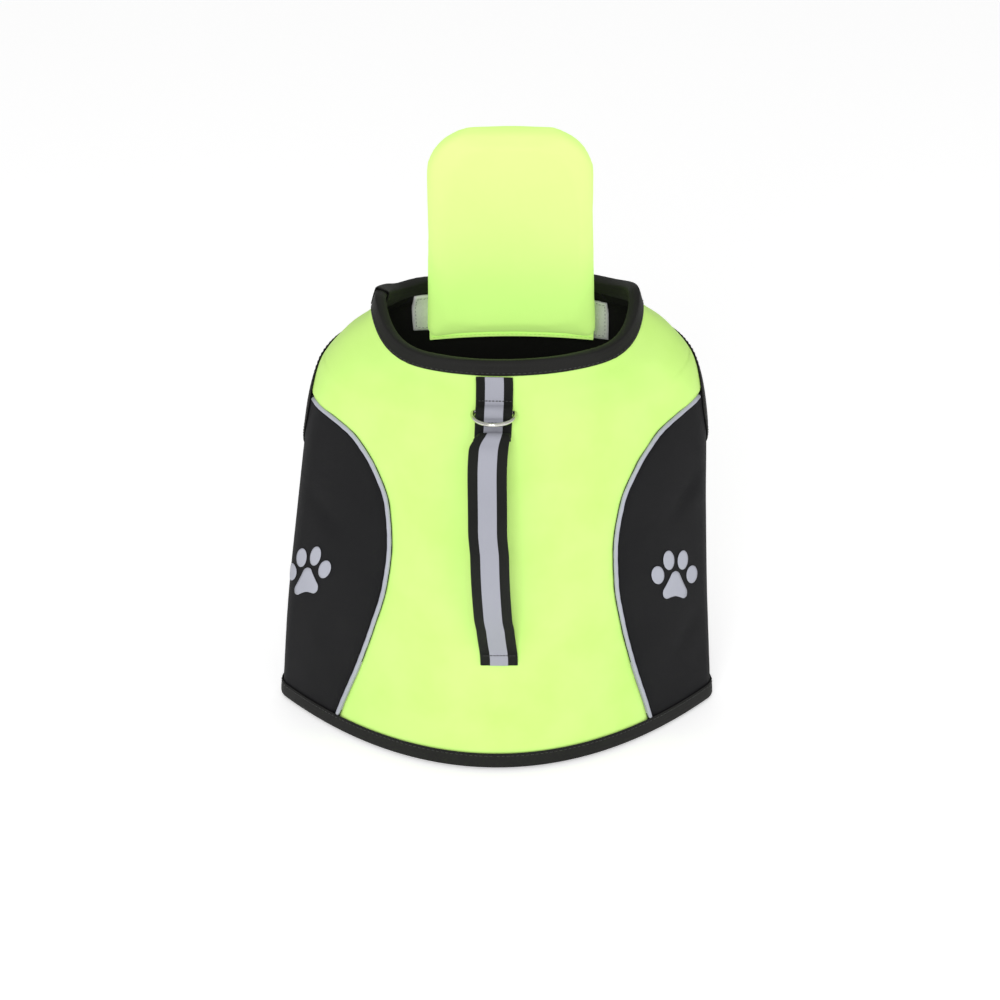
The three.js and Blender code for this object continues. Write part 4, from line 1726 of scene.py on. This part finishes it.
        bm = patch(columns, rows, place, chart)
        face_outwards(bm, lambda _: TOWARDS_BACK)
        flange = finished("chin_float_edge", bm, NEON_PAD_PAINTED_GLOW)
        thicken(flange, self.flange_thickness, 0.0, lined=False)
        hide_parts("chin_float_flange")
        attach(flange, JACKET)
        row = SeamRow("chin_float_stitches", NEON_THREAD, pitch=3.2, length=2.2)
        out = self.flange_thickness + row.thread / 2 + THREAD_LIFT
        reach = half - self.stitch_margin
        places = even(-reach, reach, 0.25)
        level = self.bottom + self.stitch_rise
        points = [self.point(form, x, level, out) for x in places]
        row.along(points, [TOWARDS_BACK] * len(points))

    def lay_hooks(self, form: JacketForm) -> None:
        """Lays the hook strip on the back sheet.

        Args:
            form: the jacket's form.
        """
        columns, rows = 48, 6
        out = -TOUCH_GAP - self.hook_thickness / 2

        def chart(i: int, j: int) -> Place:
            """Gives the place on the cloth of a column and row."""
            rise = (self.hook_high - self.hook_low) * j / rows
            return self.hook_half * (2 * i / columns - 1), self.hook_low + rise

        def place(i: int, j: int) -> Vector:
            """Gives the point of a column and row."""
            x, z = chart(i, j)
            wave = self.hook_wave * noise.noise(Vector((x * 0.06, z * 0.1, 0.5)))
            return self.point(form, x, z, out + wave)

        bm = patch(columns, rows, place, chart)
        face_outwards(bm, lambda _: TOWARDS_BACK)
        hooks = finished("hook_strip_pile", bm, HOOK_PILE)
        thicken(hooks, self.hook_thickness, 0.0, lined=False)
        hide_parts("hook_strip")
        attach(hooks, JACKET)


@dataclass
class LoopStrip:
    """The grey loop strip inside the neck, with its stitched border."""

    centre: float = -2.5
    half_length: float = 69.0
    low: float = 264.2
    high: float = 296.9
    lean: float = 0.07
    thickness: float = 1.6
    gap: float = 0.4
    border: float = 2.4
    columns: int = 70
    rows: int = 16
    line_steps: int = 400

    def place(self, form: JacketForm, along: float, level: float) -> Place:
        """Gives a place on the strip.

        Args:
            form: the jacket's form.
            along: from the strip's middle.
            level: the height at the strip's middle.

        Returns:
            The distance and height.
        """
        height = level + self.lean * along
        return CENTRE_BACK + form.half_girth(height) + self.centre + along, height

    def build(self, form: JacketForm) -> None:
        """Lays the strip on the inside of the belly panel.

        Args:
            form: the jacket's form.
        """
        lift = -WALL / 2 - self.gap - self.thickness / 2

        def chart(i: int, j: int) -> Place:
            """Gives the place on the cloth of a column and row."""
            along = self.half_length * (2 * i / self.columns - 1)
            return along, self.low + (self.high - self.low) * j / self.rows

        def point(i: int, j: int) -> Vector:
            """Gives the point of a column and row."""
            return form.lifted(*self.place(form, *chart(i, j)), lift)

        bm = patch(self.columns, self.rows, point, chart)
        face_outwards(bm, lambda _: TOWARDS_BACK)
        strip = finished("loop_strip_pile", bm, LOOP_PILE)
        thicken(strip, self.thickness, 0.0, lined=False)
        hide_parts("loop_strip")
        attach(strip, JACKET)
        self.sew(form, lift - self.thickness / 2 - THREAD_LIFT)

    def sew(self, form: JacketForm, lift: float) -> None:
        """Sews the border all round.

        Args:
            form: the jacket's form.
            lift: outwards from the middle of the wall.
        """
        half, low = self.half_length - self.border, self.low + self.border
        high = self.high - self.border
        corners = [(-half, low), (half, low), (half, high), (-half, high), (-half, low)]
        line: list[Place] = []
        for (a0, l0), (a1, l1) in zip(corners, corners[1:]):
            for k in range(self.line_steps):
                share = k / self.line_steps
                along, level = a0 + (a1 - a0) * share, l0 + (l1 - l0) * share
                line.append(self.place(form, along, level))
        SeamRow("loop_strip_stitches", GREY_THREAD, pitch=2.8, length=2.0).along_cloth(
            form, line, lift
        )


# Paw prints


@dataclass(frozen=True)
class PawPrint:
    """A reflective paw print pressed onto a side panel."""

    side: Side
    centre: Place
    across: Place
    up: Place
    film: float = 0.18
    inner_toe: Place = (7.9, 19.0)
    outer_toe: Place = (19.2, 7.4)
    inner_size: Place = (5.9, 7.6)
    outer_size: Place = (6.5, 7.1)
    inner_lean: float = 8.0
    outer_lean: float = 22.0
    toe_steps: int = 28
    pad_steps: int = 6
    rings: int = 4
    pad: tuple[Place, ...] = (
        (0, 10.6), (3.7, 9.1), (6.8, 4.4), (10.4, -0.8), (13.3, -5.2), (12.9, -9.3),
        (9.6, -11.2), (5.0, -10.1), (0, -9.3),
    )

    def build(self, form: JacketForm) -> bpy.types.Object:
        """Presses the pad and the four toes onto the cloth.

        Args:
            form: the jacket's form.

        Returns:
            The print.
        """
        bm = bmesh.new()
        for sign in (-1, 1):
            inner = self.oval(sign, self.inner_toe, self.inner_size, self.inner_lean)
            outer = self.oval(sign, self.outer_toe, self.outer_size, self.outer_lean)
            self.press(bm, form, inner)
            self.press(bm, form, outer)
        right = [Vector(point) for point in self.pad]
        left = [Vector((-x, y)) for x, y in reversed(self.pad[1:-1])]
        self.press(bm, form, catmull([*right, *left, right[0]], self.pad_steps)[:-1])
        piece = finished(f"paw_print_{self.side.label}", bm, REFLECTIVE)
        thicken(piece, self.film, 1.0, lined=False)
        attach(piece, JACKET)
        return piece

    def oval(self, sign: int, centre: Place, size: Place, lean: float) -> list[Vector]:
        """Draws one toe.

        Args:
            sign: which half of the print.
            centre: the toe's centre.
            size: half its width and half its height.
            lean: how far it leans outwards, in degrees.

        Returns:
            The toe's outline.
        """
        turned = Matrix.Rotation(-sign * math.radians(lean), 2)
        middle = Vector((sign * centre[0], centre[1]))
        angles = [2 * math.pi * k / self.toe_steps for k in range(self.toe_steps)]
        return [
            middle + turned @ Vector((size[0] * math.cos(angle), size[1] * math.sin(angle)))
            for angle in angles
        ]

    def press(self, bm: bmesh.types.BMesh, form: JacketForm, outline: list[Vector]) -> None:
        """Adds a flat shape to the print, as rings from its outline to its middle.

        Args:
            bm: the print's mesh.
            form: the jacket's form.
            outline: the shape's outline.
        """
        middle = sum(outline, Vector((0, 0))) / len(outline)

        def chart(i: int, j: int) -> Place:
            """Gives the place on the cloth of a column and row."""
            x, y = middle + (outline[i % len(outline)] - middle) * (1 - j / self.rings)
            distance = self.centre[0] + self.across[0] * x + self.up[0] * y
            return distance, self.centre[1] + self.across[1] * x + self.up[1] * y

        def place(i: int, j: int) -> Vector:
            """Gives the point of a column and row."""
            return form.lifted(*chart(i, j), WALL / 2 + TOUCH_GAP)

        shape = patch(len(outline), self.rings, place, chart)
        bmesh.ops.remove_doubles(shape, verts=shape.verts, dist=MERGE_DISTANCE)
        face_outwards(shape, lambda _: form.frame(*self.centre).normal)
        join(bm, shape)


PAW_PRINTS = (
    PawPrint(Side.RIGHT, (136.0, 107.7), (0.98, -0.37), (-0.08, 1.0)),
    PawPrint(Side.LEFT, (-155.4, 107.0), (0.92, 0.44), (0.08, 1.0)),
)


# Scene


@dataclass(frozen=True)
class SoftLight:
    """A soft square light that faces the jacket: its place, width and power in watts."""

    name: str
    place: tuple[float, float, float]
    width: float
    power: float


LIGHTS = (
    SoftLight("key", (-260, -1700, 950), 900, 15.5),
    SoftLight("fill", (1100, -1300, 900), 1400, 3.0),
)


@dataclass(frozen=True)
class Studio:
    """The floor, the soft lights and the camera."""

    target: tuple[float, float, float] = (-4.267, 85.29, 7.462)
    elevation: float = 28.0
    camera_distance: float = 1500.0
    lens: float = 77.22
    floor_height: float = -153.0
    floor_reach: float = 6000.0
    floor_albedo: float = 0.97
    floor_glow: float = 0.36
    sky: float = 0.6

    def build(self) -> None:
        """Makes the floor, the lights, the world's light and the camera."""
        self.make_floor()
        self.make_camera()
        world = bpy.data.worlds.new("studio")
        world.use_nodes = True
        background = world.node_tree.nodes["Background"]
        background.inputs["Color"].default_value = (1, 1, 1, 1)
        background.inputs["Strength"].default_value = self.sky
        bpy.context.scene.world = world
        bpy.context.scene.view_settings.view_transform = "Standard"
        for light in LIGHTS:
            self.hang(light)

    def make_floor(self) -> None:
        """Lays a plain pale floor under the hem."""
        bm = bmesh.new()
        bmesh.ops.create_grid(bm, x_segments=4, y_segments=4, size=self.floor_reach * MM)
        bmesh.ops.translate(bm, verts=bm.verts, vec=(0, 0, self.floor_height * MM))
        mesh = bpy.data.meshes.new("floor")
        bm.to_mesh(mesh)
        bm.free()
        floor = bpy.data.objects.new("floor", mesh)
        bpy.context.scene.collection.objects.link(floor)
        material = bpy.data.materials.new("pale_floor")
        material.use_nodes = True
        shader = material.node_tree.nodes["Principled BSDF"]
        shader.inputs["Base Color"].default_value = (*[self.floor_albedo] * 3, 1)
        shader.inputs["Roughness"].default_value = 0.9
        shader.inputs["Emission Color"].default_value = (1, 1, 1, 1)
        shader.inputs["Emission Strength"].default_value = self.floor_glow
        mesh.materials.append(material)

    def hang(self, light: SoftLight) -> None:
        """Hangs one light.

        Args:
            light: what it is and where it hangs.
        """
        data = bpy.data.lights.new(light.name, "AREA")
        data.size = light.width * MM
        data.energy = light.power
        lamp = bpy.data.objects.new(light.name, data)
        lamp.location = Vector(light.place) * MM
        way = Vector(self.target) * MM - lamp.location
        lamp.rotation_euler = way.to_track_quat("-Z", "Y").to_euler()
        bpy.context.scene.collection.objects.link(lamp)

    def make_camera(self) -> None:
        """Stands the camera at the photograph's angle."""
        data = bpy.data.cameras.new("camera")
        data.lens = self.lens
        camera = bpy.data.objects.new("camera", data)
        lift = math.radians(self.elevation)
        away = Vector((0, -math.cos(lift), math.sin(lift)))
        camera.location = (Vector(self.target) + away * self.camera_distance) * MM
        camera.rotation_euler = (math.radians(90) - lift, 0, 0)
        bpy.context.scene.collection.objects.link(camera)
        bpy.context.scene.camera = camera


def main() -> None:
    """Builds the jacket's pieces in order."""
    logging.basicConfig(level=logging.INFO, format="%(name)s: %(message)s")
    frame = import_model()
    LOG.info("frame loaded with %d nodes", len(frame["nodes"]))
    Studio().build()
    form = JacketForm(SECTIONS, CREASES)
    pattern = Pattern()
    BodyCloth(form, pattern).build()
    LOG.info("body cloth built")
    Trim(form, pattern).build()
    LOG.info("bindings and piping built")
    BackWebbing(form).build()
    DRing().build(form)
    LOG.info("webbing and ring built")
    ChinFloat().build(form)
    LoopStrip().build(form)
    LOG.info("chin float and its fastener built")
    for paw_print in PAW_PRINTS:
        paw_print.build(form)
    LOG.info("paw prints built")


if __name__ == "__main__":
    main()
